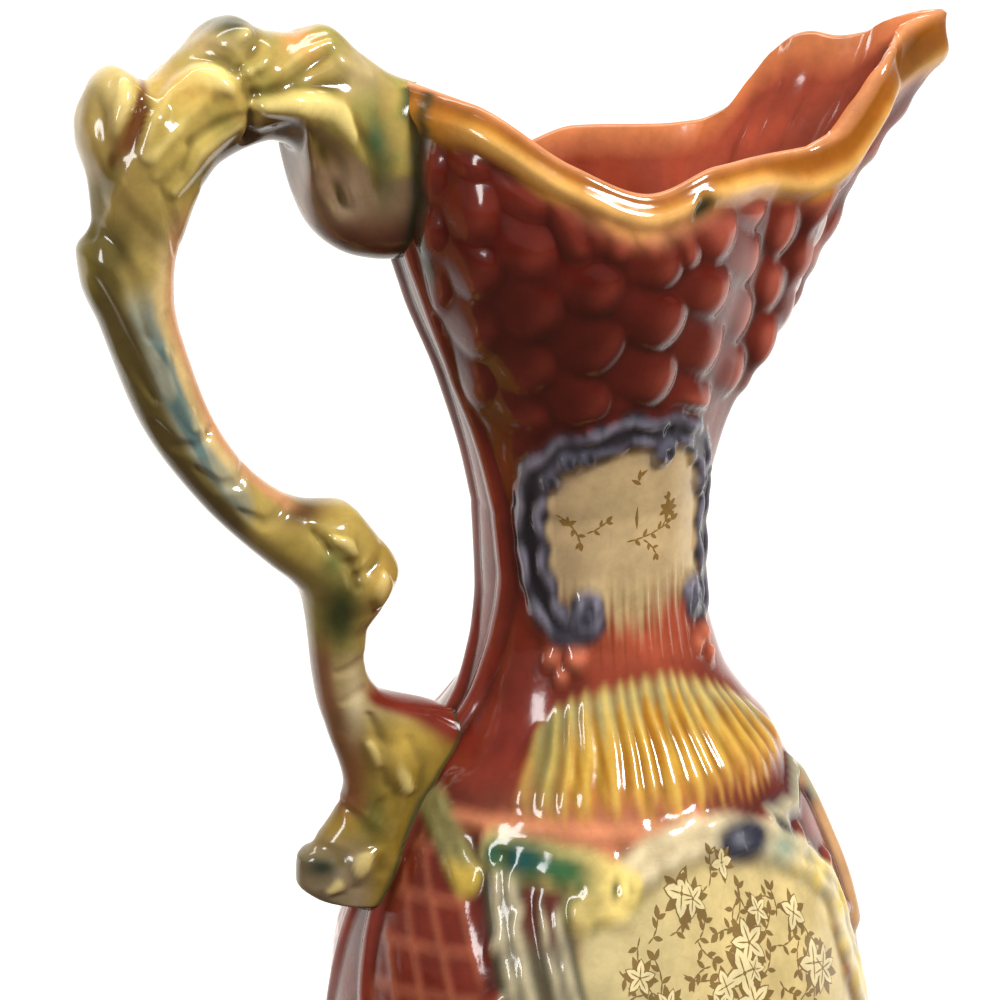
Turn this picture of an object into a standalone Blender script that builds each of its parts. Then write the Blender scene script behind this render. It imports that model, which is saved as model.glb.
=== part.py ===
# Moulded earthenware ewer: an oval body with a narrow neck, a beaked lip and a scrolled leaf handle.
# The body is slip-cast, hollow and open at the lip. The handle is luted on before firing, so
# the whole ewer is one piece. +X is the spout, -X the handle, and the two sides are mirror images.
import bpy
import numpy as np
from math import pi
from mathutils import Matrix, Vector
from mathutils.bvhtree import BVHTree

MM = 0.001

# Driving sizes, in millimetres
WALL = 4.5
LIP_WALL = 2.8
FLOOR = 7.0
FOOT_REACH = 48.0
STEM_REACH = 25.5
BELLY_REACH = 74.4
NECK_REACH = 29.9
THROAT_REACH = 30.4
STEM_HEIGHT = 43.0
BELLY_HEIGHT = 110.0
NECK_HEIGHT = 240.0
THROAT_HEIGHT = 262.0
LIP_HEIGHT = 378.3
SPOUT_REACH = 103.5
HANDLE_REACH = 129.9
HANDLE_HALF_WIDTH = 15.0
BELLY_OVAL = 0.97
NECK_OVAL = 0.88
HANDLE_BITE = 2.2
FOOT_CHAMFER = 1.4
LIP_ROUND = 0.9
BEAD_HEIGHT = 2.2
SCALE_HEIGHT = 2.3
RIB_HEIGHT = 1.6
PAD_HEIGHT = 1.0
GADROON_HEIGHT = 2.2
FOOT_LOBE_HEIGHT = 1.4

# Counts of the fine grid, and the triangles that are left of it
COLUMNS = 256
ROW_STEP = 2.0
LIP_ROWS = 56
INNER_STEP = 6.0
BODY_TRIANGLES = 7600
HANDLE_TRIANGLES = 1750

# Heights at which the carving is drawn, and the same heights on the ewer
DRAWN = (0.0, 43.0, 110.0, 240.0, 262.0, 378.3, 494.6)
BUILT = (
    0.0, STEM_HEIGHT, BELLY_HEIGHT, NECK_HEIGHT, THROAT_HEIGHT, LIP_HEIGHT, 2 * LIP_HEIGHT - THROAT_HEIGHT)

# Outline from the foot's edge to the stem and from the belly to the neck: share of the rise, share of the reach
FOOT_SHAPE = ((0.0, 0.97), (0.06, 1.0), (0.2, 0.89), (0.39, 0.56), (0.6, 0.2), (0.84, 0.02), (1.0, 0.0))
UNDER_SHAPE = ((0.0, 0.0), (0.1, 0.05), (0.25, 0.24), (0.45, 0.565), (0.67, 0.853), (0.85, 0.97), (1.0, 1.0))
SHOULDER_SHAPE = (
    (0.0, 0.0), (0.08, 0.013), (0.16, 0.038), (0.25, 0.083), (0.31, 0.128), (0.37, 0.19), (0.43, 0.266),
    (0.49, 0.342), (0.55, 0.43), (0.615, 0.52), (0.66, 0.585), (0.7, 0.683), (0.74, 0.773),
    (0.79, 0.863), (0.85, 0.926), (0.91, 0.971), (1.0, 1.0))

# The lip seen from above: degrees from the spout, reach from the axis, height of the edge.
# The first and last rows repeat their neighbours across the plane of symmetry, so the curve turns there.
LIP = (
    (-1.2, 101.8, 378.1), (0, 103.5, 378.3), (1.2, 101.8, 378.1), (2.8, 94, 376.5), (5, 86, 373),
    (10, 81, 371.7), (15, 78.5, 372.5), (18, 76.7, 371.6), (21.2, 74, 367.8), (23.5, 70.1, 361.9),
    (27, 63, 353.3), (32, 54.6, 350.3), (42, 46.3, 349.8), (55, 43.6, 349.8), (70, 43.4, 349.6),
    (95, 43, 344.9), (120, 44, 352.2), (150, 48, 366.2), (180, 50, 370), (210, 48, 366.2))

# How the wall opens from the throat to the lip: share of the rise, share of the opening
SPOUT_FLARE = (
    (0.0, 0.0), (0.18, 0.125), (0.28, 0.235), (0.373, 0.382), (0.56, 0.557), (0.7, 0.692), (0.768, 0.79),
    (0.852, 0.908), (0.93, 0.986), (1.0, 1.0))
SIDE_FLARE = ((0.0, 0.0), (0.214, 0.2), (0.464, 0.53), (0.714, 0.97), (0.86, 1.05), (1.0, 1.0))
BACK_FLARE = ((0.0, 0.0), (0.13, 0.14), (0.336, 0.48), (0.53, 0.88), (0.7, 1.1), (0.85, 1.08), (1.0, 1.0))


def curve(points, x):
    """Smooth curve through the points that never overshoots them."""
    points = np.array(points, float)
    px, py = points[:, 0], points[:, 1]
    step = np.diff(px)
    slope = np.diff(py) / step
    left, right = slope[:-1], slope[1:]
    weight_left = 2 * step[1:] + step[:-1]
    weight_right = step[1:] + 2 * step[:-1]
    turn = left * right <= 0
    safe_left = np.where(turn, 1.0, left)
    safe_right = np.where(turn, 1.0, right)
    inner = (weight_left + weight_right) / (weight_left / safe_left + weight_right / safe_right)
    tangent = np.concatenate(([slope[0]], np.where(turn, 0.0, inner), [slope[-1]]))
    x = np.clip(x, px[0], px[-1])
    i = np.clip(np.searchsorted(px, x, side="right") - 1, 0, len(step) - 1)
    t = (x - px[i]) / step[i]
    rise = py[i] * (1 + 2 * t) * (1 - t) ** 2 + py[i + 1] * t * t * (3 - 2 * t)
    return rise + step[i] * (tangent[i] * t * (1 - t) ** 2 - tangent[i + 1] * t * t * (1 - t))


def ease(low, high, x):
    t = np.clip((np.asarray(x, float) - low) / (high - low), 0, 1)
    return t * t * (3 - 2 * t)


def section(shape, low, high, near, far):
    """Turn an outline of shares into heights and reaches."""
    return [(low + a * (high - low), near + b * (far - near)) for a, b in shape]


def outline(z):
    """Half length of the body along X at height z, from the foot to the throat."""
    foot = section(FOOT_SHAPE, 0.0, STEM_HEIGHT, STEM_REACH, FOOT_REACH)
    under = section(UNDER_SHAPE, STEM_HEIGHT, BELLY_HEIGHT, STEM_REACH, BELLY_REACH)
    shoulder = section(SHOULDER_SHAPE, BELLY_HEIGHT, NECK_HEIGHT, BELLY_REACH, NECK_REACH)
    return curve(foot + under[1:] + shoulder[1:] + [(THROAT_HEIGHT, THROAT_REACH)], z)


def oval(z):
    """Width of the body as a share of its length."""
    return BELLY_OVAL + (NECK_OVAL - BELLY_OVAL) * ease(BELLY_HEIGHT, NECK_HEIGHT, z)


def body_reach(angle, z):
    long = outline(z)
    wide = long * oval(z)
    return 1 / np.hypot(np.cos(angle) / long, np.sin(angle) / wide)


def neck_point(angle, share):
    """Reach and height of the flared neck, from the throat (0) to the lip (1)."""
    degrees = np.degrees(angle)
    lip = np.array(LIP, float)
    reach = curve(lip[:, (0, 1)], degrees) * SPOUT_REACH / lip[1, 1]
    top = np.interp(curve(lip[:, (0, 2)], degrees), DRAWN, BUILT)
    front = 1 - ease(25, 70, degrees)
    back = ease(95, 145, degrees)
    opening = (front * curve(SPOUT_FLARE, share) + back * curve(BACK_FLARE, share)
               + (1 - front - back) * curve(SIDE_FLARE, share))
    throat = body_reach(angle, THROAT_HEIGHT)
    return throat + (reach - throat) * opening, THROAT_HEIGHT + share * (top - THROAT_HEIGHT)


def wrap(angle):
    """Angle from the spout, 0 to pi, the same on both sides."""
    return np.abs((angle + pi) % (2 * pi) - pi)


# The carving. Places are degrees from the middle of a side, towards the spout, and drawn heights.
SEAM = (
    (-86, 367), (-84, 340), (-80, 316), (-80, 297), (-76, 285), (-72, 266), (-68, 245), (-75, 225), (-82, 201),
    (-79, 186), (-82, 165), (-78, 138), (-72, 112), (-70, 92), (-78, 78))
NECK_FRAME_BACK = (
    (13, 284), (-4, 286), (-18, 283), (-34, 281), (-47, 275), (-53, 263), (-51, 250), (-45, 239), (-35, 233),
    (-24, 235), (-23, 240))
NECK_FRAME_FRONT = ((18, 285), (33, 282), (46, 275), (55, 264), (55, 252), (60, 240), (56, 233), (46, 234), (44, 239))
LEDGES = (((-66, 187), (-42, 188.5), (-20, 187), (0, 186.5), (12, 188)), ((-52, 185), (-30, 183.5), (-16, 181.5)))
BELLY_ARCH = (
    (-14, 176), (-5, 181), (8, 183.5), (22, 182), (35, 176.5), (46, 168), (53, 157), (51, 145), (54, 130),
    (58, 116), (54, 100), (44, 90), (28, 84))
BELLY_POSTS = (
    ((-48, 180), (-45, 166), (-40, 150), (-37, 132), (-40, 116), (-46, 102), (-38, 90), (-20, 84), (4, 82)),
    ((-36, 172), (-33, 160), (-29, 145), (-27, 130), (-31, 116)))
TOP_LEAF = ((-48, 182), (-36, 181), (-24, 179), (-14, 174), (-24, 170))
BACK_STRAP = ((-73, 188), (-63, 182), (-55, 175))
FRONT_STRAP = ((72, 181), (71, 168), (67, 154), (63, 143))
FRONT_SCROLL = ((44, 178), (40, 182), (54, 180), (68, 186), (75, 181), (70, 176))
FAN_TOP = ((-52, 196), (-40, 208), (-16, 217.5), (14, 220), (36, 216), (63, 207), (74, 197))
RIB_TURN = 7.6
CARVING_TURN = ((0, 3.7), (150, 3.7), (240, 4.4), (262, 4.0), (300, 2.3), (350, 0.0))
SCALE_ALONG = (16.5, -9.3)
SCALE_DOWN = (1.0, -15.0)


def stroke(side, level, reach, points, width, height):
    """Rounded moulding that follows the points."""
    far = np.full(side.shape, 1e9)
    across = side * reach
    for (a0, z0), (a1, z1) in zip(points[:-1], points[1:]):
        x0, x1 = np.radians(a0) * reach, np.radians(a1) * reach
        dx, dz = x1 - x0, z1 - z0
        t = np.clip(((across - x0) * dx + (level - z0) * dz) / (dx * dx + dz * dz), 0, 1)
        far = np.minimum(far, np.hypot(across - x0 - t * dx, level - z0 - t * dz))
    return height * np.clip(1 - (far / (width / 2)) ** 2, 0, 1) ** 0.8


def scales(side, level, reach):
    """Overlapping rounded scales, in rows that fall towards the spout."""
    u, v = side * reach, level - 300.0
    (ax, az), (dx, dz) = SCALE_ALONG, SCALE_DOWN
    det = ax * dz - az * dx
    i, j = (u * dz - v * dx) / det, (ax * v - az * u) / det
    best = np.zeros(side.shape)
    for di in (-1, 0, 1):
        for dj in (-1, 0, 1):
            ci, cj = np.round(i) + di, np.round(j) + dj
            x, y = u - ci * ax - cj * dx, v - ci * az - cj * dz
            along, over = x * 0.87 - y * 0.49, x * 0.49 + y * 0.87
            dome = np.clip(1 - (along / 9.4) ** 2 - (over / 7.4) ** 2, 0, 1) ** 0.6
            best = np.maximum(best, dome * (0.75 + 0.03 * along))
    return best


def relief(side, z, below, reach):
    """Height of the carving over the plain wall, in millimetres; below is the distance under the lip."""
    level = np.interp(z, BUILT, DRAWN)
    side = side + np.radians(np.interp(level, *zip(*CARVING_TURN)))
    height = np.zeros(side.shape)
    degrees = np.degrees(side)

    # Scales between the neck frame and the bead
    field = ease(286, 290, level) * ease(8, 13, below) * ease(-80, -74, degrees)
    around = stroke(side, level, reach, NECK_FRAME_BACK + NECK_FRAME_FRONT, 14, 1.0)
    height += SCALE_HEIGHT * field * (1 - np.clip(2 * around, 0, 1)) * scales(side, level, reach)

    # Ribbed fan on the shoulder
    top = curve(FAN_TOP, degrees)
    fan = ease(top, top - 3, level) * ease(188, 193, level) * ease(-53, -48, degrees) * (1 - ease(70, 75, degrees))
    height += RIB_HEIGHT * fan * (0.56 + 0.44 * np.cos(2 * pi * degrees / RIB_TURN))

    # Squares of the lattice beside the handle
    edge = curve(((90, -50), (120, -46), (150, -45), (166, -50), (176, -60), (184, -74)), level)
    panel = ease(-77, -74, degrees) * ease(edge, edge - 3, degrees) * ease(92, 96, level) * ease(184, 180, level)
    u, v = side * reach + 0.22 * level, level - 0.12 * side * reach
    grooves = np.minimum(np.abs(np.sin(pi * u / 8.6)), np.abs(np.sin(pi * v / 11.0)))
    height += PAD_HEIGHT * panel * ease(0.12, 0.45, grooves)

    # Gadroons under the belly and on the foot, plain where nothing shows
    lobes = np.abs(np.cos(8 * side))
    height += GADROON_HEIGHT * ease(48, 56, level) * ease(90, 78, level) * lobes ** 0.7
    height += FOOT_LOBE_HEIGHT * ease(1.5, 5, level) * ease(30, 20, level) * lobes ** 0.7
    height += 1.6 * np.exp(-((level - 43) / 2.6) ** 2)

    # Mouldings
    for points, width, tall in (
            (SEAM, 6.0, 1.7), (NECK_FRAME_BACK, 8.0, 2.2), (NECK_FRAME_FRONT, 7.0, 2.2), (BELLY_ARCH, 9.0, 2.4),
            (BELLY_POSTS[0], 8.0, 2.4), (BELLY_POSTS[1], 6.0, 1.9), (TOP_LEAF, 9.0, 2.6), (BACK_STRAP, 7.0, 2.0),
            (FRONT_STRAP, 7.0, 2.4), (FRONT_SCROLL, 4.5, 1.6), (LEDGES[0], 4.0, 1.3), (LEDGES[1], 4.0, 1.3)):
        height = np.maximum(height, stroke(side, level, reach, points, width, tall))

    # Rolled bead under the lip, broad and low beside the spout
    spout = ease(40, 72, degrees)
    drop = 5.0 + 5.0 * spout
    bead = BEAD_HEIGHT * np.exp(-((below - drop) / (2.7 + 1.6 * spout)) ** 2)
    return np.where(below < 14, np.maximum(bead, height * ease(6, 12, below)), height)


def outer_rows():
    """Rows of points up the outside, foot to lip, before the carving."""
    angle = np.linspace(0, 2 * pi, COLUMNS, endpoint=False)
    turned = wrap(angle)
    rows, below = [], []
    top = neck_point(turned, 1.0)[1]
    for z in np.linspace(0, THROAT_HEIGHT, round(THROAT_HEIGHT / ROW_STEP), endpoint=False):
        reach = body_reach(turned, z)
        rows.append(np.stack([reach * np.cos(angle), reach * np.sin(angle), np.full(COLUMNS, z)], 1))
        below.append(top - z)
    for share in np.linspace(0, 1, LIP_ROWS):
        reach, z = neck_point(turned, share)
        rows.append(np.stack([reach * np.cos(angle), reach * np.sin(angle), z], 1))
        below.append(top - z)
    return np.array(rows), np.array(below)


def carved(rows, below):
    """Push the rows out along their normals by the carving."""
    around = np.roll(rows, -1, 1) - np.roll(rows, 1, 1)
    upward = np.gradient(rows, axis=0)
    normal = np.cross(around, upward)
    normal /= np.linalg.norm(normal, axis=2)[..., None]
    normal[0] = rows[0] * (1, 1, 0) / np.linalg.norm(rows[0, :, :2], axis=1)[:, None]
    side = np.arctan2(rows[..., 0], np.abs(rows[..., 1]))
    reach = np.hypot(rows[..., 0], rows[..., 1])
    return rows + normal * relief(side, rows[..., 2], below, reach)[..., None]


def hollow_ring(ring, slope, wall):
    """The ring one wall thickness further in, as seen from the axis."""
    angle = np.arctan2(ring[:, 1], ring[:, 0])
    gap = wall * np.hypot(1, slope)
    along = ring[:, 0, None] * np.cos(angle) + ring[:, 1, None] * np.sin(angle)
    aside = ring[:, 0, None] * np.sin(angle) - ring[:, 1, None] * np.cos(angle)
    inside = along - np.sqrt(np.maximum(gap[:, None] ** 2 - aside ** 2, 0))
    blocked = (np.abs(aside) < gap[:, None]) & (along > 0)
    reach = np.where(blocked, inside, 1e9).min(axis=0)
    return np.stack([reach * np.cos(angle), reach * np.sin(angle), ring[:, 2]], 1)


def inner_rows(rows):
    """Rows down the inside, lip to floor."""
    radius = np.hypot(rows[..., 0], rows[..., 1])
    slope = np.gradient(radius, axis=0) / np.gradient(rows[..., 2], axis=0)
    picked, last = [], None
    for i in range(len(rows) - 1, 0, -1):
        height = rows[i, :, 2].min()
        if height < FLOOR:
            break
        if last is None or last - height >= INNER_STEP:
            wall = LIP_WALL + (WALL - LIP_WALL) * ease(0, 14, rows[-1, :, 2] - rows[i, :, 2])
            picked.append(hollow_ring(rows[i], np.clip(slope[i], -1.2, 1.2), wall))
            last = height
    bottom = picked[-1].copy()
    bottom[:, 2] = FLOOR
    return picked + [bottom]


def new_object(name, points, faces):
    mesh = bpy.data.meshes.new(name)
    mesh.from_pydata([tuple(p) for p in points], [], faces)
    mesh.validate()
    thing = bpy.data.objects.new(name, mesh)
    bpy.context.scene.collection.objects.link(thing)
    return thing


def loft(name, rings):
    """Closed skin over rings of equal size, with a point at each end."""
    count = len(rings[0])
    points = [rings[0].mean(axis=0)] + [p for ring in rings for p in ring] + [rings[-1].mean(axis=0)]
    faces = [(0, 1 + (k + 1) % count, 1 + k) for k in range(count)]
    for i in range(len(rings) - 1):
        low, high = 1 + i * count, 1 + (i + 1) * count
        for k in range(count):
            n = (k + 1) % count
            faces.append((low + k, low + n, high + n, high + k))
    end, start = len(points) - 1, 1 + (len(rings) - 1) * count
    faces += [(end, start + k, start + (k + 1) % count) for k in range(count)]
    return new_object(name, points, faces)


def thin_out(thing, triangles):
    """Keep about so many triangles, most of them in the carving."""
    now = sum(len(face.vertices) - 2 for face in thing.data.polygons)
    modifier = thing.modifiers.new("fewer faces", "DECIMATE")
    modifier.ratio = min(1.0, triangles / now)
    modifier.use_collapse_triangulate = True
    bake(thing)


def bake(thing):
    """Put the modifiers' result into the object's own mesh."""
    graph = bpy.context.evaluated_depsgraph_get()
    result = bpy.data.meshes.new_from_object(thing.evaluated_get(graph), depsgraph=graph)
    thing.modifiers.clear()
    thing.data = result


def make_body():
    rows, below = outer_rows()
    outside = carved(rows, below)
    inside = inner_rows(rows)
    foot = outside[0] * (1 - FOOT_CHAMFER / FOOT_REACH)
    lip_out, lip_in = outside[-1], inside[0]
    crown = (lip_out + lip_in) / 2 + (0, 0, LIP_ROUND)
    rings = [foot] + list(outside) + [crown] + inside
    return loft("ewer", rings), outside


# The handle: points of its outer edge and its inner edge in the plane of symmetry, and half its width there.
# Both ends run on past the wall and are stopped inside it.
HANDLE = (
    (-36, 367.2, -36, 329.2, 12), (-51.9, 372.5, -53.8, 328.1, 13), (-59.8, 378.1, -62.8, 329.7, 13.5),
    (-69.2, 385, -73.6, 337.9, 13.5), (-75.7, 383.5, -76.3, 345.9, 14), (-82.6, 384.5, -76.8, 355.4, 14.5),
    (-90.6, 388.4, -83.2, 359, 15), (-103.7, 380.4, -95.8, 354.8, 13.5), (-111.4, 374.9, -99.9, 350.4, 13.5),
    (-118.8, 378.6, -102.7, 345.9, 14.5), (-125.5, 373, -104.8, 341, 15), (-128.1, 362.9, -106.7, 336, 14),
    (-126.3, 352.4, -107.7, 331.6, 12), (-126.1, 344.4, -108.1, 327.6, 11), (-129.9, 336.5, -108.2, 323.3, 11),
    (-129.4, 329.5, -107.8, 319.1, 11), (-126, 319.4, -106.3, 312.6, 10.3),
    (-117.5, 293.9, -100.1, 293.5, 9.2), (-103.5, 271.7, -90.1, 278.4, 9), (-87.9, 254.8, -77.1, 270, 10),
    (-82.8, 250, -68.1, 268.5, 11.5), (-80.2, 246.4, -60.8, 260.4, 12), (-79.2, 242.9, -54.8, 249.9, 11.5),
    (-78.7, 238.4, -58.7, 241.5, 9.5), (-78.3, 233.3, -63.6, 234.6, 8.2), (-77.8, 225.4, -64.4, 225.7, 7.8),
    (-76.8, 217, -61, 218.1, 8), (-74.4, 207.5, -44, 210.4, 8.5), (-70.7, 193, -32, 200.7, 9.5),
    (-72.8, 186.6, -32, 188.8, 9), (-79, 178.8, -32, 179.9, 9), (-84.1, 174.4, -36, 171, 9),
    (-84.6, 168.4, -40, 163.2, 8.5), (-80.8, 163.5, -54.5, 158.4, 8), (-74.4, 161.4, -64.5, 157.1, 5))
HANDLE_RINGS = 150
HANDLE_POINTS = 36


def make_handle(outside):
    """Scrolled handle, kept from reaching through the wall."""
    shape = np.array(HANDLE, float)
    shape[:, (0, 2)] *= HANDLE_REACH / 129.9
    shape[:, (1, 3)] = np.interp(shape[:, (1, 3)], DRAWN, BUILT)
    shape[:, 4] *= HANDLE_HALF_WIDTH / 15.0
    mids = (shape[:, 0:2] + shape[:, 2:4]) / 2
    travel = np.concatenate(([0], np.cumsum(np.hypot(*np.diff(mids, axis=0).T))))
    at = np.linspace(0, travel[-1], HANDLE_RINGS)
    outer_x, outer_z, inner_x, inner_z, half = [curve(np.stack([travel, c], 1), at) for c in shape.T]
    wall = body_tree(outside)
    turn = np.linspace(0, 2 * pi, HANDLE_POINTS, endpoint=False)
    across = np.sign(np.sin(turn)) * np.abs(np.sin(turn)) ** 0.85
    rings = []
    for i in range(HANDLE_RINGS):
        outer, inner = np.array((outer_x[i], 0, outer_z[i])), np.array((inner_x[i], 0, inner_z[i]))
        middle, arm = (outer + inner) / 2, (outer - inner) / 2
        ring = middle + np.cos(turn)[:, None] * arm + across[:, None] * (0, half[i], 0)
        rings.append(np.array([stop_in_wall(p, wall) for p in ring]))
    return loft("handle", rings)


def body_tree(outside):
    """The carved outside as a surface that rays can hit."""
    rows, count = outside.shape[:2]
    points = [Vector(p) for p in outside.reshape(-1, 3)]
    faces = []
    for i in range(rows - 1):
        for k in range(count):
            n = (k + 1) % count
            faces.append((i * count + k, i * count + n, (i + 1) * count + n, (i + 1) * count + k))
    return BVHTree.FromPolygons(points, faces)


def stop_in_wall(point, wall):
    start = Vector((-4 * BELLY_REACH, point[1], point[2]))
    hit = wall.ray_cast(start, Vector((1, 0, 0)))[0]
    if hit is not None and hit.x < -10 and point[0] > hit.x + HANDLE_BITE:
        return np.array((hit.x + HANDLE_BITE, point[1], point[2]))
    return point


def glaze():
    material = bpy.data.materials.new("majolica glaze")
    material.use_nodes = True
    shader = material.node_tree.nodes["Principled BSDF"]
    shader.inputs["Base Color"].default_value = (0.26, 0.035, 0.022, 1)
    shader.inputs["Roughness"].default_value = 0.12
    shader.inputs["Metallic"].default_value = 0.0
    return material


for old in list(bpy.data.objects):
    bpy.data.objects.remove(old, do_unlink=True)

ewer, skin = make_body()
thin_out(ewer, BODY_TRIANGLES)
for vertex in ewer.data.vertices:
    if abs(vertex.co.z) < 0.3:
        vertex.co.z = 0.0

handle = make_handle(skin)
thin_out(handle, HANDLE_TRIANGLES)
handle.hide_render = True
handle.display_type = "WIRE"

join = ewer.modifiers.new("luted handle", "BOOLEAN")
join.operation = "UNION"
join.object = handle
bake(ewer)
bpy.data.objects.remove(handle, do_unlink=True)

ewer.data.transform(Matrix.Scale(MM, 4))
ewer.data.materials.clear()
ewer.data.materials.append(glaze())
ewer.data.shade_smooth()
ewer.data.set_sharp_from_angle(angle=0.7)
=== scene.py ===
import bmesh
import bpy
import numpy as np
from math import pi
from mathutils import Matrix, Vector
from mathutils.bvhtree import BVHTree


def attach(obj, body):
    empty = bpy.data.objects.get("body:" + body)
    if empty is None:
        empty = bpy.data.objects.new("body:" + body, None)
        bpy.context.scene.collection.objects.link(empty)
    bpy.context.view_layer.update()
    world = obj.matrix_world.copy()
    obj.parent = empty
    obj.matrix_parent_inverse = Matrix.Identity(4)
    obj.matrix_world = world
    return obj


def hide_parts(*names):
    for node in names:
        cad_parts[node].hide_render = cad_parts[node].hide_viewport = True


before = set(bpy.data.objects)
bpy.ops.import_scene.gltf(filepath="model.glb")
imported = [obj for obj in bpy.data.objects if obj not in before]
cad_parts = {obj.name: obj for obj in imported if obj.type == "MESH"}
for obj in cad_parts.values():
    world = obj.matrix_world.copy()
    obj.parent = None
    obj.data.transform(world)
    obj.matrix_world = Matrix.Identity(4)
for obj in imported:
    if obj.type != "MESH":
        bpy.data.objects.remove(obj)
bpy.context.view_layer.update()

# Body of the ewer: white earthenware slip-cast in a two-part mould, open at the lip and hollow,
# with its carving cast in and softened by thick lead glaze. It is shown as two halves that meet in
# its plane of symmetry. Its sizes are in millimetres, and a reach is measured from the upright axis.
MM = 0.001
FOOT_REACH = 48.0
STEM_REACH = 25.5
BELLY_REACH = 74.35
NECK_REACH = 29.9
THROAT_REACH = 30.4
STEM_HEIGHT = 43.0
BELLY_HEIGHT = 110.0
NECK_HEIGHT = 240.0
THROAT_HEIGHT = 262.0
BELLY_OVAL = 0.97
NECK_OVAL = 0.88
LIP_WALL = 2.4
WALL = 4.5
WALL_FADE = 14.0
INNER_STEP = 8.0
FLOOR = 7.0
FOOT_CHAMFER = 1.4
FOOT_RECESS = 1.1
LIP_ROUND = 0.9
COLUMNS = 620
NECK_ROWS = 104

# Outline from the stem to the foot's edge, from the stem to the belly and from the belly to the neck:
# share of the rise, share of the reach
FOOT_SHAPE = ((0.0, 0.97), (0.06, 1.0), (0.2, 0.89), (0.39, 0.56), (0.6, 0.2), (0.84, 0.02), (1.0, 0.0))
UNDER_SHAPE = ((0.0, 0.0), (0.1, 0.05), (0.25, 0.24), (0.45, 0.565), (0.67, 0.853), (0.85, 0.97), (1.0, 1.0))
SHOULDER_SHAPE = (
    (0.0, 0.0), (0.08, 0.013), (0.16, 0.038), (0.25, 0.083), (0.31, 0.128), (0.37, 0.19), (0.43, 0.266),
    (0.49, 0.342), (0.55, 0.43), (0.615, 0.52), (0.66, 0.585), (0.7, 0.683), (0.74, 0.773),
    (0.79, 0.863), (0.85, 0.926), (0.91, 0.971), (1.0, 1.0))

# The lip seen from above: degrees from the spout, reach from the axis, height of the edge.
# The first and last rows repeat their neighbours across the plane of symmetry, so the curve turns there.
LIP = (
    (-1.2, 101.6, 378.1), (0, 103.2, 378.3), (1.2, 101.6, 378.1), (2.8, 94, 376.5), (5, 86, 373),
    (10, 81, 371.7), (15, 78.5, 372.5), (18, 76.7, 371.6), (21.2, 74, 367.8), (23.5, 70.1, 361.9),
    (27, 63, 353.3), (32, 54.6, 350.3), (42, 46.3, 349.8), (55, 43.6, 349.8), (70, 43.4, 349.6),
    (95, 43, 344.9), (120, 44, 352.2), (150, 48, 366.2), (180, 50, 370), (210, 48, 366.2))

# How the wall opens from the throat to the lip: share of the rise, share of the opening
SPOUT_FLARE = (
    (0.0, 0.0), (0.18, 0.125), (0.28, 0.235), (0.373, 0.382), (0.56, 0.557), (0.7, 0.692), (0.768, 0.79),
    (0.852, 0.908), (0.93, 0.986), (1.0, 1.0))
SIDE_FLARE = ((0.0, 0.0), (0.214, 0.2), (0.464, 0.53), (0.714, 0.97), (0.86, 1.05), (1.0, 1.0))
BACK_FLARE = ((0.0, 0.0), (0.13, 0.14), (0.336, 0.48), (0.53, 0.88), (0.7, 1.1), (0.85, 1.08), (1.0, 1.0))


def curve(points, x):
    """Smooth curve through the points that never overshoots them."""
    points = np.array(points, float)
    px, py = points[:, 0], points[:, 1]
    step = np.diff(px)
    slope = np.diff(py) / step
    left, right = slope[:-1], slope[1:]
    weight_left = 2 * step[1:] + step[:-1]
    weight_right = step[1:] + 2 * step[:-1]
    turn = left * right <= 0
    safe_left = np.where(turn, 1.0, left)
    safe_right = np.where(turn, 1.0, right)
    inner = (weight_left + weight_right) / (weight_left / safe_left + weight_right / safe_right)
    tangent = np.concatenate(([slope[0]], np.where(turn, 0.0, inner), [slope[-1]]))
    x = np.clip(x, px[0], px[-1])
    i = np.clip(np.searchsorted(px, x, side="right") - 1, 0, len(step) - 1)
    t = (x - px[i]) / step[i]
    rise = py[i] * (1 + 2 * t) * (1 - t) ** 2 + py[i + 1] * t * t * (3 - 2 * t)
    return rise + step[i] * (tangent[i] * t * (1 - t) ** 2 - tangent[i + 1] * t * t * (1 - t))


def ease(low, high, x):
    """Smooth step, 0 at low and 1 at high; low may be the greater."""
    t = np.clip((np.asarray(x, float) - low) / (high - low), 0, 1)
    return t * t * (3 - 2 * t)


def section(shape, low, high, near, far):
    """Turn an outline of shares into heights and reaches."""
    return [(low + a * (high - low), near + b * (far - near)) for a, b in shape]


def outline(z):
    """Half length of the body along X at height z, from the foot to the throat."""
    foot = section(FOOT_SHAPE, 0.0, STEM_HEIGHT, STEM_REACH, FOOT_REACH)
    under = section(UNDER_SHAPE, STEM_HEIGHT, BELLY_HEIGHT, STEM_REACH, BELLY_REACH)
    shoulder = section(SHOULDER_SHAPE, BELLY_HEIGHT, NECK_HEIGHT, BELLY_REACH, NECK_REACH)
    return curve(foot + under[1:] + shoulder[1:] + [(THROAT_HEIGHT, THROAT_REACH)], z)


def oval(z):
    """Width of the body as a share of its length."""
    return BELLY_OVAL + (NECK_OVAL - BELLY_OVAL) * ease(BELLY_HEIGHT, NECK_HEIGHT, z)


def body_reach(angle, z):
    """Distance from the axis to the plain wall, at an angle from the spout."""
    long = outline(z)
    wide = long * oval(z)
    return 1 / np.hypot(np.cos(angle) / long, np.sin(angle) / wide)


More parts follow.
